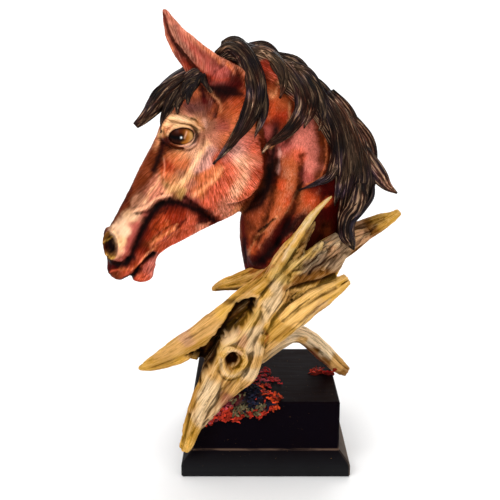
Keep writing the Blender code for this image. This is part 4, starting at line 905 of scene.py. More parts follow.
NECK_STROKES = (
    # painted shadow in the groove between the jaw and the neck
    (((8, 222), (6, 214), (5.5, 206), (5.4, 193.6), (3.2, 181.2), (-2.3, 169.5), (-9.1, 162.6), (-16.5, 158),
      (-26, 152)), 5.6, 0.98, "black_brown"),
    (((3, 190), (2, 176), (-1.6, 164.5), (-9.3, 156.1), (-16, 155)), 4.2, 0.95, "black_brown"),
    (((11, 206), (10, 192), (7, 180)), 2.4, 0.55, "maroon"),
    (((11, 206), (10.5, 196), (9, 186)), 1.1, 0.45, "lilac"),
    (((17, 202), (15.5, 193), (13, 184)), 2.4, 0.6, "chestnut"),
    (((19, 243), (19.5, 231), (15.5, 221), (8, 212), (0, 205)), 1.1, 0.8, "tan_orange"),
    (((11, 261), (8, 252), (5, 247)), 1.0, 0.7, "tan_orange"),
    (((22, 204), (20, 191), (18, 179), (13, 166), (8, 155)), 2.6, 0.5, "orange_brown"),
    # painted shadow of a wisp of the mane on the neck
    (((30, 178), (27, 173.5), (22, 168)), 2.4, 0.85, "dark_brown"),
    (((26, 172), (21, 163), (16, 154)), 0.9, 0.5, "tan_orange"),
    (((7.2, 148), (-0.3, 138), (-6, 128), (-11, 119)), 3.4, 0.8, "orange_brown"),
    (((9, 151), (3, 144), (-5, 133), (-12, 123), (-15, 115)), 1.1, 0.7, "tan_orange"),
    (((2, 149), (-5.1, 139), (-11.1, 128.5), (-14.4, 116)), 1.8, 0.55, "dark_brown"),
    (((25.9, 170), (19, 158), (14.2, 148), (6, 133), (-6.2, 116)), 2.0, 0.7, "dark_brown"),
    (((7.4, 149.2), (6.3, 148.1), (4.5, 146.2), (0.9, 141.9), (-6.3, 135.7)), 1.1, 0.95, "black_brown"),
    (((-1.4, 134.5), (-5.1, 128.3), (-8.7, 120.8)), 0.8, 0.7, "dark_brown"),
    # painted shadow beside the neck's muscle, towards the mane
    (((31, 152), (23.8, 147), (18, 138), (6, 123.3), (-2.6, 113), (-9, 108)), 4.8, 0.94, "black_brown"),
    (((33, 148), (24, 141), (21, 130)), 3.6, 0.8, "black_brown"),
    (((20.3, 137), (14.3, 127), (8, 115.7)), 1.8, 0.6, "deep_red"),
    (((12, 118), (2, 110)), 1.6, 0.6, "orange_red"),
    (((69.6, 167), (67.3, 157), (63.2, 148.5)), 1.2, 0.7, "orange"),
    (((49, 219), (50.5, 206), (49.5, 193), (44, 181), (34, 177.5)), 0.9, 0.8, "orange"),
    (((46, 216), (46.5, 202), (44, 188)), 2.4, 0.7, "brown"),
    (((-20, 146), (-18.8, 138), (-17.6, 124), (-17.6, 106)), 2.8, 0.94, "maroon"),
    (((-17.8, 126), (-17.6, 106)), 2.6, 0.8, "black_brown"),
)

# The driftwood in the side view, in the same form
WOOD_DABS = {
    "wood_yellow": ((-106, 21, 6), (-73, 32, 4), (-38, 76, 5), (-26, 82, 5), (-66, -30, 5), (-71, -40, 5),
        (-17, 32, 3), (-27, 26, 3), (-1, 90, 4), (-13, 66, 3.5), (4, 65, 4), (55, 87, 4), (64, 96, 4),
        (-34, 88, 4), (23, 138, 4), (46, 161, 4), (36, 124, 4), (109, 147, 5), (116, 151, 5)),
    "ochre": ((-96, 24, 5), (-85, 26, 5), (-61, 39, 4), (-50, 46, 4), (-4, 96, 6), (-8, 72, 5),
        (-40, 46, 3.5), (-38, 36, 4), (-52, 33, 4), (-57, 19, 4), (-61, 4, 4), (-66, -15, 4), (-60, -22, 4),
        (16, 110, 5), (11, 58, 4), (-1, 52, 4), (-42, 85, 4), (-25, 93, 5), (-16, 98, 5), (100, 141, 4)),
    "wood_tan": ((-88, 34, 5), (-79, 42, 6), (-57, 60, 6), (-48, 68, 6), (-14, 84, 5), (-44, 28, 5),
        (-28, 14, 4), (-10, 35, 4), (-15, 15, 4), (-22, 10, 4), (20, 90, 4), (44, 77, 4), (32, 37, 3),
        (68, 10, 4), (4, 44, 4), (10, 122, 4)),
    "wood_pink": ((-67, 52, 4), (-20, 52, 3), (55, 124, 5), (76, 122, 5), (84, 128, 5)),
    "bleached": ((-31, 52, 4), (-10, 46, 4), (-47, 17, 5), (-50, 5, 5), (-54, -3, 4), (-50, -12, 4),
        (-46, 6, 4), (-13, 25, 4), (4, 82, 4), (-3, 71, 4), (-8, 60, 4), (8, 94, 4), (12, 39, 4)),
    "taupe": ((-32, 6, 3.5),),
    "lichen": ((10, 105, 5), (23, 115, 5), (36, 149, 3.4), (54, 170, 4), (45, 133, 4)),
    "grey_wood": ((37, 112, 5), (46, 119, 5), (62, 128, 5), (56, 112, 4), (66, 118, 5), (70, 108, 5)),
    # wood_brown: the first three patches are painted shadow under the slab, the next three painted shadow
    # under the rear leg
    "wood_brown": ((28, 97, 4), (49, 105, 4), (38, 101, 6), (78, -2, 4), (40, 24, 4), (50, 12, 4),
        (38, 141, 3), (92, 134, 4), (80, 114, 5)),
    "gold_wood": ((27, 86, 4), (38, 89, 4), (54, 93, 4), (68, 101, 4), (18, 73, 4), (34, 79, 4)),
    "pale_wood": ((23, 44, 4), (34, 47, 4), (44, 34, 4), (56, 22, 4)),
}
# On the far side the same paint is this much broader, in full from this depth
WOOD_FAR_REACH = 3
WOOD_FAR_FROM = 14
WOOD_STROKES = (
    (((-91, 36), (-73, 55), (-55, 70), (-37, 80.5), (-22, 87)), 1.6, 0.6, "wood_yellow"),
    (((-66, 36), (-60, 38.6), (-52, 43), (-46, 49), (-40, 56)), 0.9, 0.6, "wood_yellow"),
    (((4, 98), (-1, 91), (-7, 83), (-9, 78)), 0.8, 0.9, "wood_dark"),
    (((-33, 25), (-37, 17), (-40.5, 4), (-47, -4), (-51, -16)), 1.3, 0.6, "wood_brown"),
    (((-30, 20), (-34, 10), (-38, 0)), 2.2, 0.35, "wood_brown"),
    # painted shadow under the slab
    (((16, 93.5), (31, 98), (45, 101), (56, 103.5)), 3.0, 0.8, "wood_brown"),
    (((18, 92), (31, 95.5), (44, 99), (54, 101.5)), 1.2, 0.7, "wood_dark"),
    (((13, 77), (31, 91), (49, 97), (66, 104)), 1.3, 0.5, "wood_yellow"),
    (((31, 67), (45, 78), (54, 84)), 1.3, 0.5, "bleached"),
    (((-55, 25), (-58.7, 9), (-63.5, -10.5), (-70, -30)), 2.4, 0.45, "ochre"),
    (((-62, 20), (-66, -2), (-71, -24)), 1.2, 0.5, "wood_brown"),
    (((-54, 22), (-56, 12), (-59, 0), (-58, -10)), 1.2, 0.6, "wood_brown"),
    (((-52, -20), (-57, -32), (-63, -42)), 1.4, 0.75, "wood_dark"),
    # painted shade on the front leg's left side
    (((-54, 34), (-57, 22), (-60.5, 8), (-64, -8)), 2.2, 0.6, "wood_brown"),
    (((-30, 22), (-36.5, 9), (-45, -8)), 1.2, 0.7, "wood_brown"),
    (((-27, 24), (-34, 14), (-40, 6)), 0.7, 0.6, "wood_dark"),
    (((-46, 20), (-50, 6), (-55, -8)), 2.0, 0.5, "pale_wood"),
    (((0, 60), (2, 54), (0, 48)), 1.1, 0.6, "deep_red"),
    (((-24, 5), (-31, 0), (-38, -10), (-46, -20)), 2.4, 0.6, "rose"),
    (((-14, 14), (-20, 6)), 1.4, 0.4, "leaf_pink"),
    (((30, 35), (39, 24), (48, 14), (58, 3)), 2.0, 0.4, "taupe"),
    (((42, 22), (52, 9), (62, 0)), 2.0, 0.5, "rose"),
    (((16, 89), (31, 92), (50, 96), (64, 101)), 1.1, 0.6, "gold_wood"),
    (((-42, 82), (-32, 82.5), (-20, 84)), 2.0, 0.75, "wood_dark"),
    (((-2, 104), (10, 108), (22, 121), (34, 136), (50, 162)), 1.6, 0.55, "wood_yellow"),
    (((22, 118), (30, 128), (42, 143), (50, 154)), 1.3, 0.7, "wood_brown"),
    (((26, 112), (34, 120), (42, 126)), 1.0, 0.7, "wood_dark"),
    (((36, 106), (46, 113.5), (58, 120)), 1.4, 1.0, "wood_dark"),
    (((44, 122), (54, 128), (64, 133)), 1.2, 0.6, "pale_wood"),
    (((27, 118), (34, 131), (42, 148)), 3.6, 0.9, "wood_brown"),
    (((29, 120), (34, 131), (40, 145)), 1.2, 0.8, "wood_dark"),
    (((32, 124), (38, 136), (42, 146)), 0.6, 0.7, "ochre"),
    (((14, 110), (28, 117.5), (38, 123.5), (47, 131)), 2.2, 0.7, "lichen"),
    (((40, 126), (47.5, 132.5)), 1.6, 0.8, "wood_light"),
    (((22, 108.5), (36, 115), (50, 125.5)), 1.6, 1.0, "wood_dark"),
    (((14, 118), (22, 133), (36, 153), (50, 167)), 1.2, 0.65, "pale_wood"),
    (((34, 116), (42, 128), (50, 141)), 1.2, 0.7, "wood_dark"),
    (((30, 120), (39, 136)), 0.6, 0.6, "wood_light"),
    (((28, 104), (40, 115), (53, 127)), 1.0, 0.9, "wood_dark"),
    (((36, 106), (48, 116), (62, 128)), 1.1, 0.85, "wood_dark"),
    (((44, 108), (56, 119)), 0.7, 0.6, "wood_dark"),
    (((31, 108), (43, 118), (54, 128)), 0.7, 0.6, "pale_wood"),
    (((68, 120), (82, 129), (96, 138)), 1.2, 0.8, "wood_dark"),
    (((72, 113), (88, 122), (102, 133)), 1.3, 0.5, "wood_dark"),
    (((74, 126), (88, 134), (102, 144)), 0.9, 0.5, "wood_dark"),
    (((20, 46), (32, 50), (42, 44)), 1.2, 0.6, "pale_wood"),
    (((50, 106), (60, 116), (68, 122)), 1.2, 0.8, "wood_dark"),
    (((-12, 100), (-2, 106), (6, 112)), 2.0, 0.6, "deep_red"),
    (((40, 85), (48, 89), (58, 92.5)), 1.0, 0.45, "wood_brown"),
    (((8, 52), (20, 63), (34, 71), (44, 78)), 1.4, 0.5, "wood_brown"),
    (((6, 78), (-2, 66), (-10, 54), (-12, 40)), 1.8, 0.5, "bleached"),
    (((-7, 76), (-13, 65), (-21, 55.5), (-31, 50), (-38, 45)), 1.8, 0.6, "lichen"),
)
# The cavity's outline between the blade and the front leg; its depth, behind which place and over
# which way it fades, its wall's slope, how far it reaches past the outline, how faint the grain of
# its wall is, and its paint: dark patches of painted shade, with streaks of the wood's own colour
CAVITY = (
    (-8.9, 84.7), (-16.9, 84), (-23.4, 81.2), (-27.8, 76), (-32.4, 69.4), (-35.8, 63.5), (-39.3, 57.6),
    (-44.4, 50.4),
    (-50.7, 43.2), (-58.2, 38.9), (-66.7, 36), (-57.2, 30.7), (-57.8, 21.4), (-54.4, 19), (-50.2, 26.7),
    (-43.9, 32.8),
    (-41, 37.6), (-39.2, 44.8), (-38, 49.5), (-34.7, 54.3), (-27.4, 56.7), (-19, 61.4), (-14, 68),
    (-10, 75.5),
)
CAVITY_DEPTH = 13.0
CAVITY_BACK = -22
CAVITY_FADE = 14
CAVITY_WALL = 3.0
CAVITY_MORE = 1.5
WALL_CALM = 0.85
CAVITY_SHADE_DABS = {
    "black_brown": ((-10.5, 82, 4), (-18, 81, 4), (-48, 44, 4)),
    "wood_dark": ((-14, 75, 3), (-24, 73, 4), (-28, 60, 4), (-33, 64, 4), (-38, 52, 4), (-42, 48, 4),
        (-54, 26, 4), (-47, 30, 4)),
    "wood_brown": ((-20, 66, 4),),
    "dark_brown": ((-52, 36, 4),),
}
CAVITY_STROKES = (
    (((-35, 52), (-28, 57.5), (-20.5, 62.5), (-14, 70)), 1.9, 0.8, "ochre"),
    (((-37, 48), (-30, 54), (-21, 59), (-13, 66)), 1.0, 0.7, "wood_brown"),
    (((-32, 58), (-24, 65.2), (-16, 74)), 1.0, 0.6, "ochre"),
    (((-30, 65.2), (-22, 72), (-14, 79)), 0.7, 0.5, "wood_brown"),
    (((-26, 60), (-18, 68)), 0.6, 0.7, "black_brown"),
    (((-44, 52), (-38, 60), (-31, 70)), 0.8, 0.4, "wood_brown"),
    (((-52, 30), (-49, 38)), 1.0, 0.5, "wood_brown"),
)

# Which colours the leaves take on the plinth's top, by x and y, and on its front, by x and z
TOP_LEAF_DABS = {
    "leaf_red": ((-2, 18, 6), (5, -2, 7), (2, -16, 7), (58, 0, 7)),
    "leaf_pink": ((-3, -24, 6), (-32, -56, 6), (-38, -60, 5)),
    "leaf_coral": ((-8, -32, 5), (2, -56, 5), (48, 8, 14)),
    "leaf_blue": ((-6, -42, 5), (-16, -52, 6), (-10, -58, 5)),
    "leaf_olive": ((-24, -58, 6),),
    "leaf_orange": ((4, -38, 6), (12, -50, 7)),
}
LEAF_DABS = {
    "leaf_pink": ((-36, 0, 6), (-28, -19, 4), (-42, -16, 6), (-26, 6, 5), (-4, 12, 5)),
    "leaf_coral": ((-30, -12, 5), (-36, -8, 6), (-8, -14, 4), (-16, -12, 3), (2, -8, 4), (0, 16, 4),
        (48, 8, 12)),
    "leaf_red": ((-36, 8, 5), (5, 24, 4), (-4, 30, 4), (58, 2, 6)),
    "leaf_olive": ((-22.6, -8, 4), (-18, -2, 3.6), (-7, -5, 3.4)),
    "leaf_blue": ((-12, 0, 4), (-8, 6.5, 5), (-14, 6, 4), (0, 0, 3)),
    "leaf_orange": ((10, 3, 4), (14, 1, 4), (8, 11, 4)),
}

# The floor that bends up behind, the camera that took the picture, and the light
STAGE_SIZE = 9
STAGE_BACK = 1.6
STAGE_BEND = 2.5
BEND_STEPS = 24
FLOOR_PALE = (0.9, 0.9, 0.9, 1)
FLOOR_ROUGH = 0.9
SENSOR_WIDTH = 36
CAMERA_LENS = 57.6
CAMERA_TILT = 76
CAMERA_PLACE = (-0.0132, -0.6784, 0.3485)
WORLD_LIGHT = 0.9
LAMP_TARGET = (0, 0, 0.2)
BACKDROP_LAMP = (70, 2.5, (0, 1.6, 3.6), (0, 4.2, 1.6))
# Soft lamps: name, power in watts, size and place in metres
LAMPS = (
    ("key", 5, 0.5, (-0.5, -0.8, 0.9)),
    ("fill", 1, 0.8, (0.9, -0.7, 0.5)),
    ("rim", 3, 0.5, (0.3, 0.8, 0.9)),
)
# Painted materials: paint of the dry brush; then the strokes' scale, how much finer the second
# ones are and how sharp their lights, how bright paint must be for dry brush, the mottling's
# scale, values of dark and light strokes and their shares, blotches, depth and share of the dark
# wash in hollows, partly the paint's own wash and partly painted shade, height and share of the
# dry brush, bump and its height, range of roughness and shine
LOOKS = {
    "chestnut_coat": ("peach", dict(
        scale=0.5, fine=2.0, edge=0.08, dry_from=0.1, mottle=90.0, dark_value=0.36, light_value=1.75,
        dark=0.85, light=0.7, blotch=0.35, hollow=0.28, wash_and_shade=0.85, ridge=0.45, dry=0.3,
        bump=0.6, bump_height=0.0006, rough=(0.42, 0.6), specular=0.03)),
    "dark_mane": ("mane_tan", dict(
        scale=0.9, fine=1.7, edge=0.05, dry_from=0.001, mottle=70.0, dark_value=0.34, light_value=2.9,
        dark=0.9, light=0.9, blotch=0.4, hollow=0.13, wash_and_shade=0.95, ridge=0.11, dry=0.8,
        bump=0.7, bump_height=0.0006, rough=(0.4, 0.55), specular=0.08)),
    "driftwood": ("wood_light", dict(
        scale=1.3, fine=2.0, edge=0.07, dry_from=0.02, mottle=60.0, dark_value=0.5, light_value=1.3,
        dark=0.75, light=0.6, blotch=0.1, hollow=0.34, wash_and_shade=0.85, ridge=0.4, dry=0.25,
        bump=0.8, bump_height=0.0009, rough=(0.65, 0.85), specular=0.03)),
    "leaf_litter": ("leaf_orange", dict(
        scale=0.6, fine=2.7, edge=0.1, dry_from=0.05, mottle=150.0, dark_value=0.4, light_value=1.4,
        dark=0.6, light=0.4, blotch=0.4, hollow=0.2, wash_and_shade=0.95, ridge=0.3, dry=0.25,
        bump=0.4, bump_height=0.0004, rough=(0.5, 0.7), specular=0.06)),
}
# What they share: noises (detail, roughness), tints (value and vividness) and bands of the noises
STROKES_NOISE = (8.0, 0.65)
FINER_NOISE = (4.0, 0.6)
MOTTLE_NOISE = (5.0, 0.55)
DULL_VIVID = 1.12
LIGHT_VIVID = 0.92
WASH_AND_SHADE_TINT = (0.22, 1.1)
DARK_BAND = (0.52, 0.42)
LIGHT_FROM = 0.54
BLOTCH_BAND = (0.52, 0.30)
BRUSH_BAND = (0.40, 0.58)
MOTTLE_BAND = (0.3, 0.7)
RIDGE_FROM = 0.25
FINER_BUMP = 0.5
# The eyes: noise (scale, detail, roughness), its band, value and share of the dark, bump and gloss
EYE_NOISE = (1.6, 6.0, 0.6)
EYE_BAND = (0.5, 0.35)
EYE_DARK = 0.55
EYE_SPECKS = 0.6
EYE_BUMP = (0.08, 0.0002)
EYE_ROUGH = 0.3
EYE_SHINE = 0.03
EYE_COAT = 0.02
EYE_COAT_ROUGH = 0.04
# The plinth's lacquer: how its streaks are stretched, its noises (scale, detail, roughness), where
# each paint sets in and its share
PLINTH_STRETCH = (14.0, 90.0, 90.0)
PLINTH_STREAKS = (3.0, 6.0, 0.6)
PLINTH_CLOUD = (30.0, 5.0, 0.6)
PLINTH_SPECKS = (900.0, 2.0, 0.5)
FOOT_BAND = (FOOT_HEIGHT + FLARE_HEIGHT * 1.1, FOOT_HEIGHT * 0.6)
LOW_BAND = (FOOT_HEIGHT + FLARE_HEIGHT * 1.6, FOOT_HEIGHT)
TOP_BAND = (0.6, 0.9)
TOP_STREAKS = (0.3, 0.7, 0.35, 1.0)
# painted light on the lower side of the plinth that faces +X
LIT_SIDE_BAND = (0.3, 0.8)
LIT_SIDE_CLOUD = (0.35, 0.6, 0.4, 1.0)
EDGE_WEAR = 0.0012
WORN_BAND = (0.36, 0.56)
WORN_SHARE = 0.6
SPECK_BAND = (0.76, 0.80)
SPECK_SHARE = 0.8
DUST_BAND = (0.5, 0.75)
DUST_SHARE = 0.25
PLINTH_ROUGH = (0.3, 0.7, 0.4, 0.55)
PLINTH_BUMP = (0.25, 0.0003)
PLINTH_SHINE = 0.01


def curve_rows(rows, steps):
    """Rows along a smooth curve through the given rows, with so many steps between two rows."""
    rows = np.asarray(rows, float)
    padded = np.vstack((2 * rows[0] - rows[1], rows, 2 * rows[-1] - rows[-2]))
    out = []
    for i in range(len(rows) - 1):
        a, b, c, d = padded[i:i + 4]
        for t in np.linspace(0, 1, steps, endpoint=False):
            out.append(0.5 * (2 * b + (c - a) * t + (2 * a - 5 * b + 4 * c - d) * t ** 2
                              + (3 * b - a - 3 * c + d) * t ** 3))
    out.append(rows[-1])
    return np.array(out)


def skin(rings):
    """Points and faces of a closed body over rings of equal length."""
    rings = np.asarray(rings)
    count, sides = rings.shape[:2]
    points = np.vstack((rings.reshape(-1, 3), rings[0].mean(axis=0), rings[-1].mean(axis=0)))
    first, last = count * sides, count * sides + 1
    faces = []
    for i in range(count - 1):
        for j in range(sides):
            k = (j + 1) % sides
            faces.append((i * sides + j, i * sides + k, (i + 1) * sides + k, (i + 1) * sides + j))
    for j in range(sides):
        k = (j + 1) % sides
        faces.append((first, k, j))
        faces.append((last, (count - 1) * sides + j, (count - 1) * sides + k))
    return points, faces


def head_to_figure(along, out, up):
    """A place in the head's own plane, and out from it towards -Y, in the figure's axes."""
    along, out = np.asarray(along, float), np.asarray(out, float)
    x = POLL_X + along * math.cos(HEAD_TURN) + out * math.sin(HEAD_TURN)
    y = along * math.sin(HEAD_TURN) - out * math.cos(HEAD_TURN)
    return np.stack((x, y, np.broadcast_to(np.asarray(up, float), x.shape)), axis=-1)


def figure_to_head(points):
    """The way back: along, out and up for points in the figure's axes."""
    x, y = points[:, 0] - POLL_X, points[:, 1]
    along = x * math.cos(HEAD_TURN) + y * math.sin(HEAD_TURN)
    out = x * math.sin(HEAD_TURN) - y * math.cos(HEAD_TURN)
    return along, out, points[:, 2]


def slab(stations, place, sides=28, steps=4):
    """A body over sections that stand across one plane, such as the head's or the neck's."""
    rows = curve_rows([(*top, *low, *breadths) for top, low, breadths in stations], steps)
    angles = np.linspace(0, 2 * math.pi, sides, endpoint=False)
    share = (1 - np.cos(angles)) / 2
    round_off = np.sign(np.sin(angles)) * np.abs(np.sin(angles)) ** SQUARENESS
    rings = []
    for row in rows:
        half = np.interp(share, BREADTH_AT, row[4:9]) * round_off
        rings.append(place(row[0] + (row[2] - row[0]) * share, half, row[1] + (row[3] - row[1]) * share))
    return skin(rings)


def neck_place(x, out, z):
    """A place in the neck's plane, which moves to the far side as the neck widens downwards."""
    shift = NECK_SHIFT * np.clip((NECK_TOP - z) / NECK_FALL, 0, 1)
    return np.stack((x, shift - out, z), axis=-1)


def ball(centre, radii, tilt=0.0, rounds=8, sides=14):
    """An egg-shaped lump, tilted about Y by so many degrees."""
    angles = np.linspace(0, 2 * math.pi, sides, endpoint=False)
    c, s = math.cos(math.radians(tilt)), math.sin(math.radians(tilt))
    rings = []
    for level in np.linspace(0, math.pi, rounds + 2)[1:-1]:
        x = radii[0] * np.sin(level) * np.cos(angles)
        y = radii[1] * np.sin(level) * np.sin(angles)
        z = np.full(sides, radii[2] * math.cos(level))
        rings.append(np.stack((x * c + z * s, y, z * c - x * s), axis=-1) + centre)
    return skin(rings[::-1])


def gather(bodies):
    """One list of points and faces from several closed bodies."""
    points, faces, base = [], [], 0
    for body_points, body_faces in bodies:
        points.append(body_points)
        faces.extend(tuple(base + i for i in face) for face in body_faces)
        base += len(body_points)
    return np.vstack(points), faces


def mesh_from(name, points, faces):
    mesh = bpy.data.meshes.new(name)
    mesh.from_pydata(np.asarray(points).tolist(), [], [tuple(face) for face in faces])
    mesh.update()
    return mesh


def points_of(mesh):
    flat = np.empty(len(mesh.vertices) * 3, np.float32)
    mesh.vertices.foreach_get("co", flat)
    return flat.reshape(-1, 3).astype(float)


def with_modifier(mesh, kind, **settings):
    """The mesh as it is after one modifier."""
    carrier = bpy.data.objects.new("carrier", mesh)
    bpy.context.scene.collection.objects.link(carrier)
    modifier = carrier.modifiers.new(kind, kind)
    for key, value in settings.items():
        setattr(modifier, key, value)
    bpy.context.view_layer.update()
    result = bpy.data.meshes.new_from_object(carrier.evaluated_get(bpy.context.evaluated_depsgraph_get()))
    bpy.data.objects.remove(carrier)
    return result


def relax(mesh, points, rounds, inward=-0.53, outward=0.5):
    """Smooth without shrinking: each round moves points to their neighbours' mean and part back."""
    edges = np.empty(len(mesh.edges) * 2, np.int32)
    mesh.edges.foreach_get("vertices", edges)
    a, b = edges.reshape(-1, 2).T
    degree = np.bincount(np.concatenate((a, b)), minlength=len(points))[:, None]
    count = len(points)
    for _ in range(rounds):
        for amount in (outward, inward):
            total = np.zeros_like(points)
            for k in range(3):
                total[:, k] = np.bincount(a, points[b, k], count) + np.bincount(b, points[a, k], count)
            points = points + amount * (total / degree - points)
    return points


def hump(gap, width):
    """One in the middle of a line and next to nothing past its half width."""
    return np.exp(-2 * (gap / width) ** 2)


def distance_to_line(places, line):
    """Distance of each place to a line of points, in as many dimensions as both have."""
    best = np.full(len(places), FAR_OFF)
    for start, end in zip(line[:-1], line[1:]):
        run = end - start
        share = np.clip((places - start) @ run / max(run @ run, TINY), 0, 1)
        best = np.minimum(best, np.linalg.norm(places - start - share[:, None] * run, axis=1))
    return best


def line_share(places, line, width):
    """How much of a raised or sunk line's full height each place gets."""
    return hump(distance_to_line(places, curve_rows(line, LINE_STEPS)), width)


def below(value, edge, fade):
    """One well below an edge and nought above it, with a soft fade up to it."""
    return smooth_step((edge - value) / fade)


def above(value, edge, fade):
    """Nought below an edge and one well above it, with a soft fade from it."""
    return smooth_step((value - edge) / fade)


def normals_of(mesh, points):
    mesh.vertices.foreach_set("co", points.astype(np.float32).ravel())
    mesh.update()
    flat = np.empty(len(points) * 3, np.float32)
    mesh.vertex_normals.foreach_get("vector", flat)
    return flat.reshape(-1, 3).astype(float)


def drape(tree, path, near):
    """Lay (x, z) points on the neck or head from one side; return their y."""
    side = -1 if near else 1
    found = []
    for x, z in path:
        hit = tree.ray_cast(Vector((x, side * DRAWN_HEIGHT, z)), Vector((0, -side, 0)))[0]
        found.append(None if hit is None else hit.y)
    known = [i for i, y in enumerate(found) if y is not None]
    return np.interp(range(len(path)), known, [found[i] for i in known])


def smooth_step(t):
    t = np.clip(t, 0, 1)
    return t * t * (3 - 2 * t)


def value_noise(places, seed=0):
    """Smooth noise from -1 to 1, with lumps about one unit across."""
    places = np.asarray(places, float)
    cell = np.floor(places).astype(np.int64)
    part = smooth_step(places - cell)
    total = np.zeros(len(places))
    for corner in product((0, 1), repeat=3):
        x, y, z = (cell + corner).T
        key = (x * SCATTER[0]) ^ (y * SCATTER[1]) ^ (z * SCATTER[2]) ^ (seed * SCATTER_SEED)
        key = ((key ^ (key >> 13)) * SCATTER_AGAIN) & 0xFFFFFFFF
        value = ((key ^ (key >> 16)) & 0xFFFF) / NOISE_HALF - 1
        total += value * np.prod(np.where(corner, part, 1 - part), axis=1)
    return total


def lumps(points, *layers):
    """Noise in round lumps: for each layer their size, its share and its seed."""
    return sum(share * value_noise(points / size, seed) for size, share, seed in layers)


def grain(flow, *layers):
    """Noise along hair or wood: how fine it is across and along, its share and its seed."""
    return sum(share * value_noise(flow * np.array((across, across, along)), seed)
               for across, along, share, seed in layers)


def stray(points, layers):
    """How far paint strays in a plane: size of the lumps, reach and a seed for each direction."""
    return sum(reach * np.column_stack([value_noise(points / size, seed) for seed in seeds])
               for size, reach, seeds in layers)


def frames_along(rows, steps):
    """Rows along a smooth curve with its heading, the two axes across it and the way gone."""
    rows = curve_rows(rows, steps)
    ahead = np.gradient(rows[:, :3], axis=0)
    ahead /= np.linalg.norm(ahead, axis=1)[:, None]
    across = np.cross(ahead, (0, 1, 0))
    across /= np.linalg.norm(across, axis=1)[:, None]
    deep = np.cross(across, ahead)
    way = np.concatenate(([0], np.cumsum(np.linalg.norm(np.diff(rows[:, :3], axis=0), axis=1))))
    return rows, ahead, across, deep, way


def limb(rows, steps=4, sides=24, swell=None):
    """A tapering body along (x, y, z, half width, half depth), with its section swelled if asked."""
    rows, _, across, deep, way = frames_along(rows, steps)
    angle, far = np.meshgrid(np.linspace(0, 2 * math.pi, sides, endpoint=False), way)
    size = np.ones_like(angle) if swell is None else swell(angle, far)
    rings = (rows[:, None, :3] + (np.cos(angle) * size * rows[:, 3:4])[..., None] * across[:, None]
             + (np.sin(angle) * size * rows[:, 4:5])[..., None] * deep[:, None])
    return skin(rings)


def ear(size, mirrored):
    """An upright ear with its hollow facing forwards and out, root to tip."""
    rows = np.array(EAR)
    rows[:, :3] = rows[0, :3] + (rows[:, :3] - rows[0, :3]) * size
    rows[:, 3:5] *= size
    hollows = curve_rows(rows, EAR_STEPS)[:, 5:6]

    def swell(angle, far):
        off = np.angle(np.exp(1j * (angle - EAR_FACES)))
        return 1 - hollows * EAR_HOLLOW * np.exp(-(off / EAR_OPEN) ** 2)

    points, faces = limb(rows, EAR_STEPS, EAR_SIDES, swell)
    if mirrored:
        along, out, up = figure_to_head(points)
        points = head_to_figure(along, -out, up)
        faces = [face[::-1] for face in faces]
    return points, faces


def fuse(points, faces, voxel, rounds):
    """One smoothed skin over closed bodies that run into each other."""
    fused = with_modifier(mesh_from("fused", points, faces), "REMESH", mode="VOXEL", voxel_size=voxel)
    return fused, relax(fused, points_of(fused), rounds)


def tree_of(points, faces):
    return BVHTree.FromPolygons([Vector(p) for p in points], faces)


def nearest(tree, points):
    """The distance to the nearest face and its number, for each point."""
    found = [tree.find_nearest(Vector(p)) for p in points]
    return np.array([hit[3] for hit in found]), np.array([hit[2] for hit in found])


def refine(mesh, points, chosen):
    """The mesh and its points with the chosen part's faces split in four."""
    mesh.vertices.foreach_set("co", points.astype(np.float32).ravel())
    work = bmesh.new()
    work.from_mesh(mesh)
    work.verts.ensure_lookup_table()
    edges = [e for e in work.edges if chosen[e.verts[0].index] and chosen[e.verts[1].index]]
    bmesh.ops.subdivide_edges(work, edges=edges, cuts=1, use_grid_fill=True)
    bmesh.ops.triangulate(work, faces=[f for f in work.faces if len(f.verts) > 4])
    finer = bpy.data.meshes.new("finer")
    work.to_mesh(finer)
    work.free()
    return finer, relax(finer, points_of(finer), REFINE_ROUNDS)


def hollows_of(mesh, points, rounds=6):
    """How far each point stands over (above 0) or under the smoothed surface, in units."""
    soft = relax(mesh, points, rounds, inward=0.5)
    return np.einsum("ij,ij->i", points - soft, normals_of(mesh, points))


def painted_shade_and_light(mesh, points, rounds, depth, share):
    """Painted shade in broad hollows and painted light on broad swells: how much darker or lighter the paint
    gets.
    """
    return 1 + share * np.clip(hollows_of(mesh, points, rounds) / depth, -1, SWELL_LIGHT_MOST)


def flow_from(centre, places, out, stretch):
    """Coordinates that lie along hair running straight away from a centre."""
    off = places - np.array(centre)
    reach = np.hypot(off[:, 0], off[:, 1])
    return np.column_stack((np.arctan2(off[:, 1], off[:, 0]) * stretch, out, reach * FLOW_SQUEEZE))


def srgb(colour):
    """A screen colour of three numbers up to 255 as linear light."""
    share = np.asarray(colour, float) / 255
    light = np.where(share <= 0.04045, share / 12.92, ((share + 0.055) / 1.055) ** 2.4)
    return np.clip(light - GLOSS, PAINT_LEAST, 1)


def dab(places, patches):
    """Airbrushed ground colour from the patches of each paint, which run into each other."""
    total = np.zeros((len(places), 3))
    weights = np.full(len(places), TINY)
    for paint, group in patches.items():
        for u, v, reach in group:
            away = ((places[:, 0] - u) ** 2 + (places[:, 1] - v) ** 2) / reach ** 2
            weight = np.exp(-away) + DAB_TAIL / (1 + away) ** 2
            total += weight[:, None] * srgb(PAINT[paint])
            weights += weight
    return total / weights[:, None]


def brush(colours, places, strokes, amount=1.0):
    """Strokes of paint over what is there: points, half width, strength and paint."""
    for line, width, strength, paint in strokes:
        gap = distance_to_line(places, curve_rows(line, LINE_STEPS))
        glaze(colours, paint, np.clip(strength * np.exp(-(gap / width) ** 2 * STROKE_EDGE) * amount, 0, 1))
    return colours


def glaze(colours, paint, share):
    """One paint over what is there, by a share for each point."""
    colours += (srgb(PAINT[paint]) - colours) * share[:, None]


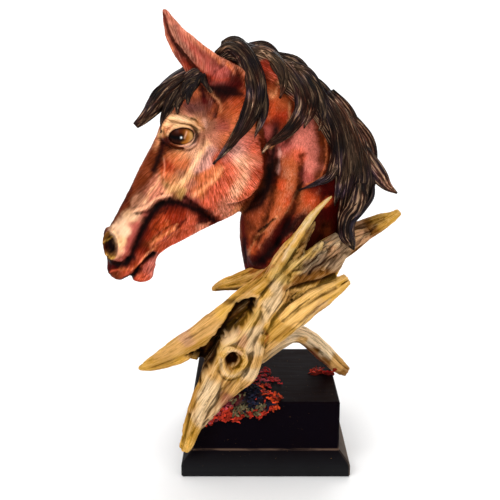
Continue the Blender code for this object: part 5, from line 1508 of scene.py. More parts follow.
def store(mesh, name, kind, values):
    layer = mesh.attributes.new(name, kind, "POINT")
    values = np.asarray(values, np.float32)
    if kind == "FLOAT_COLOR":
        values = np.column_stack((values, np.ones(len(values), np.float32)))
    key = {"FLOAT": "value", "FLOAT_VECTOR": "vector", "FLOAT_COLOR": "color"}[kind]
    layer.data.foreach_set(key, np.ascontiguousarray(values).ravel())


def piece(name, mesh, points, material, paint, flow, relief, fur=1.0):
    """A piece of the casting: raised onto the plinth, painted, and riding with it."""
    points = points.copy()
    points[:, 2] += PLINTH_HEIGHT / UNIT
    mesh.vertices.foreach_set("co", (points * UNIT).astype(np.float32).ravel())
    mesh.update()
    mesh.name = name
    for other in [a.name for a in mesh.attributes if a.name in ("paint", "flow", "relief")]:
        mesh.attributes.remove(mesh.attributes[other])
    store(mesh, "paint", "FLOAT_COLOR", np.clip(paint, 0, 1))
    store(mesh, "flow", "FLOAT_VECTOR", flow)
    store(mesh, "relief", "FLOAT", relief)
    store(mesh, "fur", "FLOAT", np.full(len(points), 1.0) * fur)
    mesh.materials.clear()
    mesh.materials.append(material)
    mesh.polygons.foreach_set("use_smooth", np.ones(len(mesh.polygons), bool))
    item = bpy.data.objects.new(name, mesh)
    bpy.context.scene.collection.objects.link(item)
    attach(item, "root")
    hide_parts("horse_head_and_driftwood")
    return item


def head_mesh():
    """The skin of head, neck and ears in one, finest round the near eye and muzzle."""
    bodies = [slab(HEAD, head_to_figure), slab(NECK, neck_place)]
    for (along, out, up), radii, tilt in HEAD_LUMPS:
        for side in (1, -1):
            bodies.append(ball(head_to_figure(along, out * side, up), radii, tilt))
    flesh, points = fuse(*gather(bodies), FLESH_VOXEL, FLESH_ROUNDS)
    flesh = (points, [tuple(face.vertices) for face in flesh.polygons])
    ears = [ear(1.0, False), ear(FAR_EAR_SIZE, True)]
    skin_mesh, points = fuse(*gather([flesh] + ears), SKIN_VOXEL, SKIN_ROUNDS)
    along, out, up = figure_to_head(points)
    near_face = (out > FINE_OUT) & (along < FINE_BACK) & (up > CHIN_LOW) & (up < FINE_TOP)
    skin_mesh, points = refine(skin_mesh, points, near_face)
    return flesh, ears, skin_mesh, points


def head_marks(points):
    """Which points are the head's own skin, and their places in its plane."""
    along, out, up = figure_to_head(points)
    in_head = (along < JAW_BACK) & (np.abs(out) < HEAD_OUT) & (up > CHIN_LOW)
    in_head &= (along < THROAT[0]) | (up > THROAT[1])
    return along, out, up, in_head


def eye_reach(along, up):
    """How far each place is from the middle of the eye: one on the edge of its opening."""
    centre, half = EYE[:2]
    c, s = math.cos(EYE_TILT), math.sin(EYE_TILT)
    da, du = along - centre[0], up - centre[1]
    return np.hypot((da * c + du * s) / half[0], (du * c - da * s) / half[1])


def nostril_reach(along, up):
    """The same for the nostril."""
    (middle, height), (half_along, half_up) = NOSTRIL[:2]
    return np.hypot((along - middle) / half_along, (up - height) / half_up)


def ball_out(along, up):
    """How far out the eyeball's surface lies in front of each place, or its rim's height past it."""
    centre, _, front, radius = EYE
    off = (along - centre[0]) ** 2 + (up - centre[1]) ** 2
    return front - radius + np.sqrt(np.clip(radius ** 2 - off, (BALL_RIM * radius) ** 2, None))


def carve_head(mesh, points):
    """The wrinkles, lids, nostrils and lips of the head and the muscles of the neck."""
    normals = normals_of(mesh, points)
    along, out, up, in_head = head_marks(points)
    flat = np.stack((along, up), axis=-1)
    lift = np.zeros(len(points))
    for line, width, height, least_out in HEAD_LINES:
        near = in_head & (np.abs(out) > least_out)
        lift[near] += height * line_share(flat[near], line, width)
    side = points[:, [0, 2]]
    near = (points[:, 1] < NECK_NEAR[0]) & (points[:, 1] > NECK_NEAR[1])
    for line, width, height in NECK_LINES:
        lift[near] += height * line_share(side[near], line, width)
    points = points + normals * lift[:, None]

    along, out, up = figure_to_head(points)
    hand, out = np.sign(out), np.abs(out)
    on_side = in_head & (out > SIDE_OUT)
    depth, wall = NOSTRIL[2:]
    out = np.where(on_side, out - depth * np.clip((1 - nostril_reach(along, up)) / wall, 0, 1), out)
    reach = eye_reach(along, up)
    eyeball = ball_out(along, up)
    lid = LID_THICK * (1 - LID_THINS * above(reach, 1, LID_THINS_OVER))
    lidded = out + (eyeball + lid - out) * below(reach, LID_REACH, LID_REACH - LID_FULL)
    out = np.where(on_side & (reach < LID_REACH), lidded, out)
    out = np.where(on_side & (reach < 1), eyeball - EYE_SUNK * below(reach, 1, EYE_EDGE), out)
    return head_to_figure(along, out * hand, up)


def paint_head(points, flesh_bodies, ears):
    """Ground colours and strokes of the head, neck and ears, among them painted shadow, shade and highlights,
    and the lie of their hair.
    """
    along, out, up, _ = head_marks(points)
    off = stray(points, HEAD_STRAY)
    in_plane = np.column_stack((along, up)) + off
    side = points[:, [0, 2]] + off
    to_head, to_neck, to_ear = (nearest(tree_of(*body), points)[0] for body in flesh_bodies + [gather(ears)])
    share = smooth_step(0.5 + (to_neck - to_head + HEAD_OVER) / HEAD_BLEND)
    share = np.where(up < HEAD_LOWEST, np.where(along > THROAT[0], 0, share), share)
    head = brush(dab(in_plane, HEAD_DABS), in_plane, HEAD_STROKES)
    on_side = np.abs(out) > SIDE_OUT
    nostril = on_side & (along < NOSTRIL[0][0] + 2 * NOSTRIL[1][0])
    # the nostril's strokes, with painted shade in its pit
    head = brush(head, in_plane, NOSTRIL_STROKES, nostril * below(nostril_reach(along, up), *NOSTRIL_PAINT))
    # painted shade on the lids' inner wall and the skin behind the eyeball
    glaze(head, "black_brown", LID_SHADE * on_side * below(eye_reach(along, up), *LID_SHADE_REACH))
    neck = brush(dab(side, NECK_DABS), side, NECK_STROKES)
    colours = neck + (head - neck) * share[:, None]
    on_ear = below(to_ear, EAR_NEAR, EAR_NEAR / 2) * above(up, EAR_LOWEST, EAR_FADE)
    colours = brush(colours, in_plane, EAR_STROKES, on_ear)
    down = flow_from(HAIR_FROM, np.column_stack((along, up)), out * HAIR_OUT, HAIR_STRETCH)
    leaning = points[:, 0] - NECK_LEAN * points[:, 2]
    hang = np.column_stack((leaning * NECK_FINE, points[:, 1] * NECK_FINE, points[:, 2] * NECK_SQUEEZE))
    return colours, np.where(share[:, None] > 0.5, down, hang), share


def patch(along, up, middle):
    """One in the middle of a round patch of the head's plane, running out past its reach."""
    return np.exp(-((along - middle[0]) ** 2 + (up - middle[1]) ** 2) / middle[2] ** 2)


def make_head(material):
    """The head and neck, and the bare skin that the mane is laid on."""
    flesh, ears, mesh, points = head_mesh()
    points = carve_head(mesh, points)
    bodies = [slab(HEAD, head_to_figure), slab(NECK, neck_place)]
    colours, flow, headness = paint_head(points, bodies, ears)
    along, _, up, _ = head_marks(points)
    off_lid = above(eye_reach(along, up), LID_FULL, LID_CLEAR)
    fur = (FUR_LEAST + (1 - FUR_LEAST) * patch(along, up, CHEEK)) * (NECK_FUR + (1 - NECK_FUR) * headness)
    lift = HAIR_LINE * (HAIR_RIDGE - 2 * np.abs(grain(flow, *HAIR_CUT))) * off_lid * (1 + fur) / 2
    lift += lumps(points, *SKIN_LUMPS)
    points = points + normals_of(mesh, points) * lift[:, None]
    nose = patch(along, up, NOSE)
    fur *= 1 - NOSE_BARE * nose
    relief = hollows_of(mesh, points) * (1 - NOSE_SMOOTH * nose)
    # the hair's and skin's own tone, then painted shade in broad hollows and painted light on broad swells
    shade = 1 + fur * grain(flow, *HAIR_TONES) + lumps(points, SKIN_TONE) * off_lid * (1 - nose)
    shade *= painted_shade_and_light(mesh, points, *SHADE_AND_LIGHT_HEAD)
    colours *= shade[:, None]
    piece("head_and_neck", mesh, points, material, colours, flow, relief, fur)
    return flesh


def ripple(angle, far, phase, *waves):
    """Waves round a lock and along it: height, number round it, closeness along it, shift."""
    return sum(height * np.sin(angle * around + far * along + phase * shift)
               for height, around, along, shift in waves)


def strand(count, depth, twist, phase):
    """The section of a lock: uneven rounded strands side by side, winding a little."""
    def swell(angle, far):
        bend = ripple(angle, far, phase, *STRAND_BENDS)
        wave = np.abs(np.sin(angle * count / 2 + far * twist + phase + bend)) - 0.5
        uneven = 1 - STRAND_UNEVEN[0] + ripple(angle, far, phase, STRAND_UNEVEN)
        broad = ripple(angle, far, phase, (STRAND_BROAD, 3, -2 * twist, 2))
        return 1 + depth * (STRAND_WAVE * wave * uneven + broad)
    return swell


def lock_rows(tree, line, width, thickness, proud, near):
    """Rows of a lock of mane lying on what is under it, full in the middle and pointed at the tip."""
    path = curve_rows(line, LOCK_STEPS)
    y = drape(tree, path, near)
    window = LAY_WINDOW * LOCK_STEPS // 4 | 1
    padded = np.pad(y, window // 2, mode="edge")
    y = np.convolve(padded, np.ones(window) / window, mode="valid")
    share = np.linspace(0, 1, len(path))
    fullness = np.clip(np.sin(math.pi * (LOCK_ROOT + (1 - LOCK_ROOT) * share)), LOCK_LEAST, 1) ** LOCK_TAPER
    lifted = y + (-proud if near else proud) * np.sqrt(np.sin(math.pi * share))
    return np.column_stack((path[:, 0], lifted, path[:, 1], width * fullness, thickness * fullness))


def tress(rows, steps, number, sides=LOCK_SIDES, strands=LOCK_STRANDS):
    """A lock's body with strands along it, and the coordinates that run with its hair."""
    swell = strand(strands, STRAND_DEPTH, STRAND_TWIST * (1 if number % 2 else -1), number * GOLDEN_TURN)
    points, faces = limb(rows, steps, sides, swell)
    fine, _, _, _, way = frames_along(rows, steps)
    angle, far = np.meshgrid(np.linspace(0, 2 * math.pi, sides, endpoint=False), way)
    half = fine[:, 3:4]
    apart = far * HAIR_SQUEEZE + number * LOCK_APART
    flow = np.stack((np.cos(angle) * half, np.sin(angle) * half, apart), axis=-1)
    flow = np.vstack((flow.reshape(-1, 3), flow[0].mean(axis=0), flow[-1].mean(axis=0)))
    return (points, faces), flow


def wisps(rows, number, count):
    """Thin strands that run over a lock beside its middle, and some that stray past its edge."""
    out = []
    to_start, to_end, to_sway, to_width = WISP_PACES
    for i in range(count):
        turn = (number * WISPS_APART + i) * GOLDEN_TURN
        start = int(len(rows) * WISP_START * (0.5 + 0.5 * math.sin(turn * to_start)))
        end = len(rows) - int(len(rows) * WISP_END * (0.5 + 0.5 * math.cos(turn * to_end)))
        part = rows[start:end:2]
        if len(part) < WISP_SHORTEST:
            continue
        share = np.linspace(0, 1, len(part))
        taper = np.clip(np.sin(math.pi * (WISP_ROOT + (1 - WISP_ROOT) * share)), WISP_THINNEST, 1)
        lean = WISP_OFF * math.sin(turn) * np.sin(math.pi * share) + WISP_STRAY * math.cos(turn) * share
        lean += WISP_SWAY * np.sin(share * WISP_WAVES + turn * to_sway)
        heading = np.gradient(part[:, :3], axis=0)
        heading /= np.linalg.norm(heading, axis=1)[:, None]
        across = np.cross(heading, (0, 1, 0))
        across /= np.linalg.norm(across, axis=1)[:, None]
        places = part[:, :3] + across * (lean * np.maximum(part[:, 3], WISP_LEAST_OFF))[:, None]
        outward = np.sign(part[len(part) // 2, 1]) or -1
        places[:, 1] += outward * part[:, 4] * np.sqrt(np.clip(1 - lean ** 2, 0.1, 1)) * WISP_LAID
        width = WISP_WIDTH * (WISP_NARROW + WISP_VARIES * abs(math.sin(turn * to_width)))
        out.append(np.column_stack((places, width * taper, width * taper * WISP_FLAT)))
    return out


def wispy(rows, number, count, first):
    """The wisps of a lock as thin tresses, numbered from the first."""
    return [tress(extra, 2, first + k, WISP_SIDES, WISP_STRANDS)
            for k, extra in enumerate(wisps(rows, number, count))]


def laid_locks(tree, locks, near, first, count):
    """Locks laid over what is under them on one side, each with its wisps."""
    made = []
    for number, row in enumerate(locks):
        rows = lock_rows(tree, *row, near=near)
        made.append(tress(rows, 1, number + first))
        made += wispy(rows, number, count, number * 3)
    return made


def hair_piece(name, tresses, material, skin_patch=None):
    """One piece from several locks: black-brown, bluish between and tan on top of its strands."""
    points, faces = gather([body for body, _ in tresses])
    flow = np.vstack([lie for _, lie in tresses])
    mesh = mesh_from(name, points, faces)
    bare = np.zeros(len(points))
    if skin_patch is not None:
        body = len(tresses[0][0][0])
        bare[:body] = above(skin_patch(points[:body, [0, 2]]), *BARE_EDGE)
        points = points + (relax(mesh, points, BARE_ROUNDS) - points) * bare[:, None]
    relief = hollows_of(mesh, points, HAIR_RELIEF_ROUNDS) * (1 - bare)
    side = points[:, [0, 2]]
    colours = np.repeat(srgb(PAINT["mane_brown"])[None], len(points), axis=0)
    for paint, amount, base, layer in HAIR_CLOUDS:
        glaze(colours, paint, amount * smooth_step(lumps(points, layer) + base))
    colours = brush(colours, side, HAIR_STROKES)
    glaze(colours, "mane_tan", STREAK_SHARE * above(grain(flow, STREAKS), *STREAK_EDGE))
    # painted shade in the mane's broad hollows and painted light on its swells
    colours *= painted_shade_and_light(mesh, points, *SHADE_AND_LIGHT_HAIR)[:, None]
    skin_tone = brush(dab(side, NECK_DABS), side, NECK_STROKES) * (1 + lumps(points, BARE_TONE))[:, None]
    colours += (skin_tone - colours) * bare[:, None]
    piece(name, mesh, points, material, colours, flow, relief, 1 - BARE_FUR_LOSS * bare)


def make_mane(bare, material):
    """The mane's body, its locks and wisps on either side, the flying lock and the forelock."""
    tree = tree_of(*gather([bare, limb(MANE_BODY)]))
    near = [tress(MANE_BODY, LOCK_STEPS, 0, *CREST_STRANDS)]
    near += laid_locks(tree, NEAR_LOCKS, True, 1, NEAR_WISPS)
    near.append(tress(FLYING_LOCK, LOCK_STEPS, 5))
    near.append(tress(MANE_ENDS[0], LOCK_STEPS, 6))
    near.append(tress(MANE_ENDS[1], 4, 7, WISP_SIDES, WISP_STRANDS))
    near += wispy(curve_rows(MANE_ENDS[0], LOCK_STEPS), 6, FAR_WISPS, 0)
    hair_piece("mane_near_side", near, material, lambda side: inside(side, np.array(BARE_CREST)))
    hair_piece("mane_far_side", laid_locks(tree, FAR_LOCKS, False, 3, FAR_WISPS), material)
    fringe = laid_locks(tree, FRINGE_LOCKS, True, 4, NEAR_WISPS)
    for number, rows in enumerate(FORELOCK):
        fringe.append(tress(rows, LOCK_STEPS, number + 2))
        fringe += wispy(curve_rows(rows, LOCK_STEPS), number, NEAR_WISPS, number * 3)
    hair_piece("forelock", fringe, material)


def make_eyes(material):
    """Both eyeballs with a slight swell where the clear cornea stands over the iris."""
    centre, _, front, radius = EYE
    bodies = []
    for side in (1, -1):
        rings = []
        for level in math.pi * np.linspace(0, 1, EYE_RINGS + 2)[1:-1] ** EYE_CROWD:
            swell = radius + CORNEA * math.exp(-(level / CORNEA_ANGLE) ** 2)
            turn = np.linspace(0, 2 * math.pi, EYE_SIDES, endpoint=False)
            along = centre[0] + swell * math.sin(level) * np.cos(turn)
            up = centre[1] + swell * math.sin(level) * np.sin(turn)
            out = np.full(EYE_SIDES, front - radius + swell * math.cos(level))
            rings.append(head_to_figure(along, out * side, up))
        bodies.append(skin(rings[::side]))
    points, faces = gather(bodies)
    mesh = mesh_from("eyes", points, faces)
    along, out, up = figure_to_head(points)
    places = np.column_stack((along, up))
    colours = np.repeat(srgb(PAINT["eye_brown"])[None], len(points), axis=0)
    # the iris and pupil, with painted shadow, shade, reflection and highlight
    colours = brush(colours, places, EYE_STROKES)
    flow = np.column_stack((along, up, out))
    piece("eyes", mesh, points, material, colours, flow, np.zeros(len(points)))


def limb_frames(points):
    """For points on the driftwood: coordinates along its grain, from the nearest limb's own axes."""
    bodies = [limb(rows) for rows in LIMBS.values()]
    _, hit = nearest(tree_of(*gather(bodies)), points)
    ends = np.cumsum([len(faces) for _, faces in bodies])
    owner = np.searchsorted(ends, hit, side="right")
    flow = np.zeros((len(points), 3))
    for number, rows in enumerate(LIMBS.values()):
        fine, _, across, deep, way = frames_along(rows, LIMB_STEPS)
        mine = np.nonzero(owner == number)[0]
        if not len(mine):
            continue
        gap = ((points[mine, None, :] - fine[None, :, :3]) ** 2).sum(axis=2)
        weight = np.exp(-(gap - gap.min(axis=1, keepdims=True)) / GRAIN_BLEND ** 2)
        weight /= weight.sum(axis=1, keepdims=True)
        off = points[mine] - weight @ fine[:, :3]
        half = (weight @ fine[:, 3:5]).mean(axis=1)
        u = np.einsum("ij,ij->i", off, weight @ across) / half * GRAIN_ACROSS
        v = np.einsum("ij,ij->i", off, weight @ deep) / half * GRAIN_ACROSS
        flow[mine] = np.column_stack((u + number * GRAIN_APART, v, (weight @ way) * GRAIN_SQUEEZE))
    return flow


def inside(places, outline):
    """How far each place lies inside an outline, below nought outside it."""
    closed = np.vstack((outline, outline[:1])).astype(float)
    x, z = places[:, 0], places[:, 1]
    within = np.zeros(len(places), bool)
    for (x0, z0), (x1, z1) in zip(closed[:-1], closed[1:]):
        crosses = (z0 > z) != (z1 > z)
        within ^= crosses & (x < (x1 - x0) * (z - z0) / (z1 - z0 if z1 != z0 else TINY) + x0)
    return np.where(within, 1, -1) * distance_to_line(places, closed)


def knot_rim():
    """The raised ring around the hole where a branch broke off."""
    angles = np.linspace(0, 2 * math.pi, KNOT_SIDES, endpoint=False)
    rings = []
    for b in np.linspace(0, 2 * math.pi, RIM_SIDES, endpoint=False):
        reach = KNOT_RADIUS + KNOT_RIM * math.cos(b) + KNOT_WAVER * np.sin(angles * KNOT_LOBES + 1)
        back = np.full(KNOT_SIDES, KNOT[1] + KNOT_BACK + KNOT_RIM * math.sin(b))
        up = KNOT[2] + KNOT_STRETCH * reach * np.sin(angles)
        rings.append(np.column_stack((KNOT[0] + reach * np.cos(angles), back, up)))
    faces = []
    for i, j in product(range(RIM_SIDES), range(KNOT_SIDES)):
        here, there = i * KNOT_SIDES, (i + 1) % RIM_SIDES * KNOT_SIDES
        k = (j + 1) % KNOT_SIDES
        faces.append((here + j, here + k, there + k, there + j))
    return np.vstack(rings), faces


def fluted(phase):
    """The section of a limb: flutes that wind along it and two broad lumps."""
    return lambda angle, far: (1 + FLUTE_DEPTH * np.cos(FLUTES * angle + far * FLUTE_TWIST + phase)
                               + LUMP_DEPTH * np.sin(2 * angle - far * LUMP_TWIST + 2 * phase))


def splinter(foot, tip, half):
    """A ragged end of split wood, thinner and flatter towards its tip."""
    share, wide, deep = SPLINTER_MIDDLE
    middle = np.array(foot) * (1 - share) + np.array(tip) * share
    rows = ((*foot, half, half), (*middle, half * wide, half * deep), (*tip, SPLINTER_TIP, SPLINTER_TIP))
    return limb(rows, LIMB_STEPS, SPLINTER_SIDES)


def carve_wood(mesh, points, broad, close, split):
    """Grain, cracks, worn places and ridges, and how much of the material's own grain shows."""
    lift = -GROOVE * broad ** 2 - CLOSE_GROOVE * close ** 2
    lift += lumps(points, WOOD_LUMPS) - SPLIT * split * broad ** 3
    side = points[:, [0, 2]]
    fur = np.ones(len(points))
    for line, width, amount in WOOD_CALM:
        fur = np.minimum(fur, 1 - amount * line_share(side, line, width))
    lift *= fur
    for line, width, height, reach in WOOD_LINES:
        forward = points[:, 1] < reach
        lift[forward] += height * line_share(side[forward], line, width)
    return points + normals_of(mesh, points) * lift[:, None], fur


def wood_hollows(points):
    """Which points are at the knot's front, how far they are from its middle and its pit's, and the
    share of the cavity's depth that each gets."""
    side = points[:, [0, 2]]
    away = points - np.array(KNOT)
    front = np.abs(away[:, 1]) < KNOT_REACH
    ragged = lumps(np.column_stack((side, np.zeros(len(side)))), RAGGED)
    around = np.hypot(away[:, 0], away[:, 2] / KNOT_STRETCH) + ragged * KNOT_RAGGED
    pit = np.hypot(away[:, 0] - PIT[0], away[:, 2] - PIT[1]) + ragged * PIT_RAGGED
    cavity = smooth_step((inside(side, np.array(CAVITY)) + CAVITY_MORE + ragged) / CAVITY_WALL)
    return front, around, pit, cavity


def paint_wood(points, flow, crack):
    """Ground colours and strokes of the wood, with painted shadow under the slab and the rear leg, broader on
    the far side, and its dark cracks.
    """
    side = points[:, [0, 2]]
    places = side + stray(points, WOOD_STRAY)
    colours = brush(dab(places, WOOD_DABS), places, WOOD_STROKES)
    broader = {paint: [(u, v, WOOD_FAR_REACH * reach) for u, v, reach in group]
               for paint, group in WOOD_DABS.items()}
    colours += (dab(places, broader) - colours) * smooth_step(points[:, 1] / WOOD_FAR_FROM)[:, None]
    colours *= 1 + grain(flow, WOOD_TONE)[:, None]
    glaze(colours, "wood_dark", CRACK_PAINT * np.clip(crack * CRACK_WIDE, 0, 1))
    return colours


def paint_hollow_shade(colours, points, flow, front, around, pit, cavity):
    """Painted shade in the cavity's wall, the knot's bowl and the pit in it, with the wall's streaks and the
    bowl's strokes.
    """
    side = points[:, [0, 2]]
    # the cavity's wall: dark patches of painted shade with streaks of the wood's own colour
    wall = dab(side, CAVITY_SHADE_DABS) * (1 + grain(flow, WALL_TONE))[:, None]
    wall = brush(wall, side, CAVITY_STROKES)
    colours += (wall - colours) * (cavity * (points[:, 1] < 0) * WALL_SHADE_AND_PAINT)[:, None]
    # painted shade in the knot's bowl
    glaze(colours, "wood_brown", BOWL_SHADE * front * below(around, KNOT_HOLE + BOWL_MORE, HOLLOW_FADE))
    colours = brush(colours, side, KNOT_STROKES, front)
    # painted shade in the pit
    glaze(colours, "dark_brown", PIT_SHADE * front * below(pit, PIT_RADIUS + PIT_MORE, HOLLOW_FADE))
    return colours


def make_driftwood(material):
    """The driftwood: fused limbs with grain, cracks, the cavity and the knot cut into them."""
    bodies = [limb(rows, LIMB_STEPS, LIMB_SIDES, fluted(PHASE_STEP * number))
              for number, rows in enumerate(LIMBS.values())]
    bodies += [splinter(*row) for row in SPLINTERS] + [knot_rim()]
    mesh, points = fuse(*gather(bodies), WOOD_VOXEL, WOOD_ROUNDS)
    flow = limb_frames(points)
    broad, close = (np.clip(1 - 2 * np.abs(grain(flow, layer)), 0, 1) for layer in (BROAD_GRAIN, CLOSE_GRAIN))
    split = above(grain(flow, SPLIT_GRAIN), *SPLIT_EDGE)
    points, fur = carve_wood(mesh, points, broad, close, split)
    front, around, pit, cavity = wood_hollows(points)
    points[:, 1] += front * KNOT_DEPTH * below(around, KNOT_HOLE, BOWL_WALL)
    points[:, 1] += front * PIT_DEPTH * below(pit, PIT_RADIUS, PIT_WALL)
    points[:, 1] += CAVITY_DEPTH * cavity * np.clip((CAVITY_BACK - points[:, 1]) / CAVITY_FADE, 0, 1)
    fur *= 1 - WALL_CALM * 4 * cavity * (1 - cavity)
    relief = hollows_of(mesh, points, WOOD_RELIEF_ROUNDS)
    colours = paint_wood(points, flow, split * broad ** 2)
    # painted shade in the wood's broad hollows and painted light on its swells
    colours *= painted_shade_and_light(mesh, points, *SHADE_AND_LIGHT_WOOD)[:, None]
    colours = paint_hollow_shade(colours, points, flow, front, around, pit, cavity)
    piece("driftwood", mesh, points, material, colours, flow, relief, fur)


def leaf(place, facing, turn, length, curl, breadth):
    """One ragged, bent strip of leaf, and how far along it each of its points is."""
    facing = np.array(facing, float) / np.linalg.norm(facing)
    base = np.cross(facing, LEAF_ACROSS)
    base /= np.linalg.norm(base)
    ahead = base * math.cos(turn) + np.cross(facing, base) * math.sin(turn)
    across = np.cross(facing, ahead)
    rings, way = [], []
    for i, t in enumerate(np.linspace(-1, 1, LEAF_STEPS)):
        ragged = 1 + LEAF_RAGGED * math.sin(i * LEAF_NICKS + turn * 3)
        half = length * breadth * max(1 - t ** 4, LEAF_TIP) ** LEAF_BLUNT * ragged
        bend = LEAF_BEND * length * math.sin(t * LEAF_WINDS + turn * 2)
        middle = place + ahead * t * length / 2 + facing * curl * length * t * t + across * bend
        ring = []
        for b in np.linspace(0, 2 * math.pi, LEAF_SIDES, endpoint=False):
            rise = LEAF_FOLD * half * abs(math.cos(b)) + LEAF_THICK * math.sin(b)
            ring.append(middle + across * math.cos(b) * half + facing * rise)
        rings.append(ring)
        way += [(t + 1) / 2] * LEAF_SIDES
    return skin(rings), np.array(way + [0, 1])


def swung(number, swing):
    """A value that swings from leaf to leaf: its middle, how far and how fast."""
    middle, far, pace = swing
    return middle + far * math.sin(number * pace)


def heap_leaf(place, facing, number):
    """One leaf of a heap, whose tilt, turn and form follow from its number."""
    a, b, c = LEAF_TILTS
    tilt = np.array((math.sin(number * a), math.cos(number * b), math.sin(number * c))) * LEAF_TILT
    length = LEAF_LENGTH * (LEAF_SHORT + LEAF_VARIES * abs(math.sin(number * LENGTH_PACE)))
    form = swung(number, LEAF_CURL), swung(number, LEAF_BREADTH)
    return leaf(place, facing + tilt, number * LEAF_TURN, length, *form)


def on_heap(kind, row, far, turn):
    """The place of a leaf on a heap, far out from its middle in one direction, and where it faces."""
    u, v, *half = row
    swell = math.sqrt(max(HEAP_ROUND - far ** 2, HEAP_LEAST))
    c, s = far * math.cos(turn), far * math.sin(turn)
    if kind == "front":
        place = (u + half[0] * c, CORNER_Y - half[1] * swell, v + half[2] * s)
        facing = (LEAF_LEAN * c, -1, LEAF_RISE + LEAF_LEAN * s)
    else:
        place = (u + half[0] * c, v + half[1] * s, half[2] * swell)
        facing = (LEAF_LEAN * c, LEAF_LEAN * s - LEAF_RISE, 1)
    return np.array(place), np.array(facing)


def make_litter(material):
    """Heaps of leaves on the plinth's top, down its front and by the rear foot."""
    top = [(CORNER_X + inward, CORNER_Y + back, *half) for inward, back, *half in LITTER_TOP]
    front = [(CORNER_X + inward, z, *half) for inward, z, *half in LITTER_FRONT]
    heaps = [ball((x, y, 0), half) for x, y, *half in top + list(LITTER_REAR)]
    heaps += [ball((x, CORNER_Y, z), half) for x, z, *half in front]
    mesh, points = fuse(*gather(heaps), LITTER_VOXEL, LITTER_ROUNDS)
    bumps = lumps(points, *LITTER_LUMPS)[:, None]
    bodies = [(points + normals_of(mesh, points) * bumps, [tuple(face.vertices) for face in mesh.polygons])]
    # the mound darkened nearly to black: painted shade between the leaves
    tints = [dab(points[:, [0, 2]], LEAF_DABS) * MOUND_SHADE]
    number = 0
    for kind, row in [("top", r) for r in top + list(LITTER_REAR)] + [("front", r) for r in front]:
        count = int(LEAF_DENSITY * row[2 if kind == "front" else 3] * row[4])
        for i in range(count):
            number += 1
            place, facing = on_heap(kind, row, math.sqrt((i + 0.5) / count), number * GOLDEN_TURN)
            body, way = heap_leaf(place, facing, number)
            bodies.append(body)
            axes, patches = ([0, 2], LEAF_DABS) if kind == "front" else ([0, 1], TOP_LEAF_DABS)
            off = math.sin(number * STRAY_PACES[0]), math.cos(number * STRAY_PACES[1])
            at = place[axes] + LEAF_STRAY * np.array(off)
            tone = LEAF_TONES[0] + (LEAF_TONES[1] - LEAF_TONES[0]) * way * swung(number, LEAF_SHADE)
            tints.append(leaf_paint(at, number, patches)[None] * tone[:, None])
    for x, y, turn, length in LOOSE_LEAVES:
        place = np.array((x, y, LOOSE_HEIGHT))
        body, way = leaf(place, (LOOSE_LEAN * math.sin(turn), -LOOSE_LEAN, 1), turn, length, *LOOSE_FORM)
        bodies.append(body)
        tints.append(srgb(PAINT["leaf_red"])[None] * (LOOSE_TONE[0] + LOOSE_TONE[1] * way)[:, None])
    points, faces = gather(bodies)
    mesh = mesh_from("leaf_litter", points, faces)
    relief = hollows_of(mesh, points, LEAF_RELIEF_ROUNDS) * LEAF_RELIEF
    piece("leaf_litter", mesh, points, material, np.vstack(tints), points, relief)


def leaf_paint(at, number, patches):
    """The colour of one leaf: that of the nearest patch, now and then its neighbour's."""
    gaps = sorted((math.hypot(at[0] - u, at[1] - v) / reach, paint)
                  for paint, group in patches.items() for u, v, reach in group)
    return srgb(PAINT[gaps[0 if number % 5 else 1][1]])


def node(tree, kind, **inputs):
    """A shader node with its inputs set or linked by name or number, and its own properties."""
    made = tree.nodes.new(kind)
    for key, value in inputs.items():
        if key.startswith("set_"):
            setattr(made, key[4:], value)
            continue
        numbered = key[0] == "i" and key[1:].isdigit()
        plug(tree, made.inputs[int(key[1:]) if numbered else key.replace("_", " ")], value)
    return made


def plug(tree, socket, value):
    """Link an input to another node's output, or set its value."""
    if isinstance(value, bpy.types.NodeSocket):
        tree.links.new(value, socket)
    else:
        socket.default_value = value


def ramp(tree, factor, low, high, start=0.0, end=1.0):
    made = node(tree, "ShaderNodeMapRange", Value=factor)
    for key, value in (("From Min", low), ("From Max", high), ("To Min", start), ("To Max", end)):
        made.inputs[key].default_value = value
    return made.outputs["Result"]


def mix(tree, factor, a, b):
    made = tree.nodes.new("ShaderNodeMix")
    made.data_type = "RGBA"
    made.clamp_factor = True
    for number, value in ((0, factor), (6, a), (7, b)):
        plug(tree, made.inputs[number], value)
    return made.outputs[2]


def maths(tree, kind, a, b=0.0):
    return node(tree, "ShaderNodeMath", set_operation=kind, i0=a, i1=b).outputs[0]


def layer(tree, colour, paint, share, *more):
    """Paint over a colour, by the product of its shares."""
    for other in more:
        share = maths(tree, "MULTIPLY", share, other)
    return mix(tree, share, colour, paint)


def tinted(tree, colour, value, vivid=1.0):
    """A colour made lighter or darker and more or less vivid."""
    return node(tree, "ShaderNodeHueSaturation", Color=colour, Value=value, Saturation=vivid).outputs[0]


def noise(tree, vector, scale, detail, rough):
    made = node(tree, "ShaderNodeTexNoise", Vector=vector, Scale=scale, Detail=detail, Roughness=rough)
    return made.outputs["Fac"]


def attribute(tree, name, output="Fac"):
    return node(tree, "ShaderNodeAttribute", set_attribute_name=name).outputs[output]


def axes(tree, vector):
    return node(tree, "ShaderNodeSeparateXYZ", Vector=vector).outputs


def dress(tree, shader, colour, height, strength, distance, **values):
    """The colour, the bump and the other values of a material's shader."""
    bump = node(tree, "ShaderNodeBump", Strength=strength, Distance=distance, Height=height)
    plug(tree, shader.inputs["Base Color"], colour)
    plug(tree, shader.inputs["Normal"], bump.outputs["Normal"])
    for key, value in values.items():
        plug(tree, shader.inputs[key.replace("_", " ")], value)


def fresh(name):
    material = bpy.data.materials.new(name)
    material.use_nodes = True
    tree = material.node_tree
    shader = tree.nodes["Principled BSDF"]
    return material, tree, shader


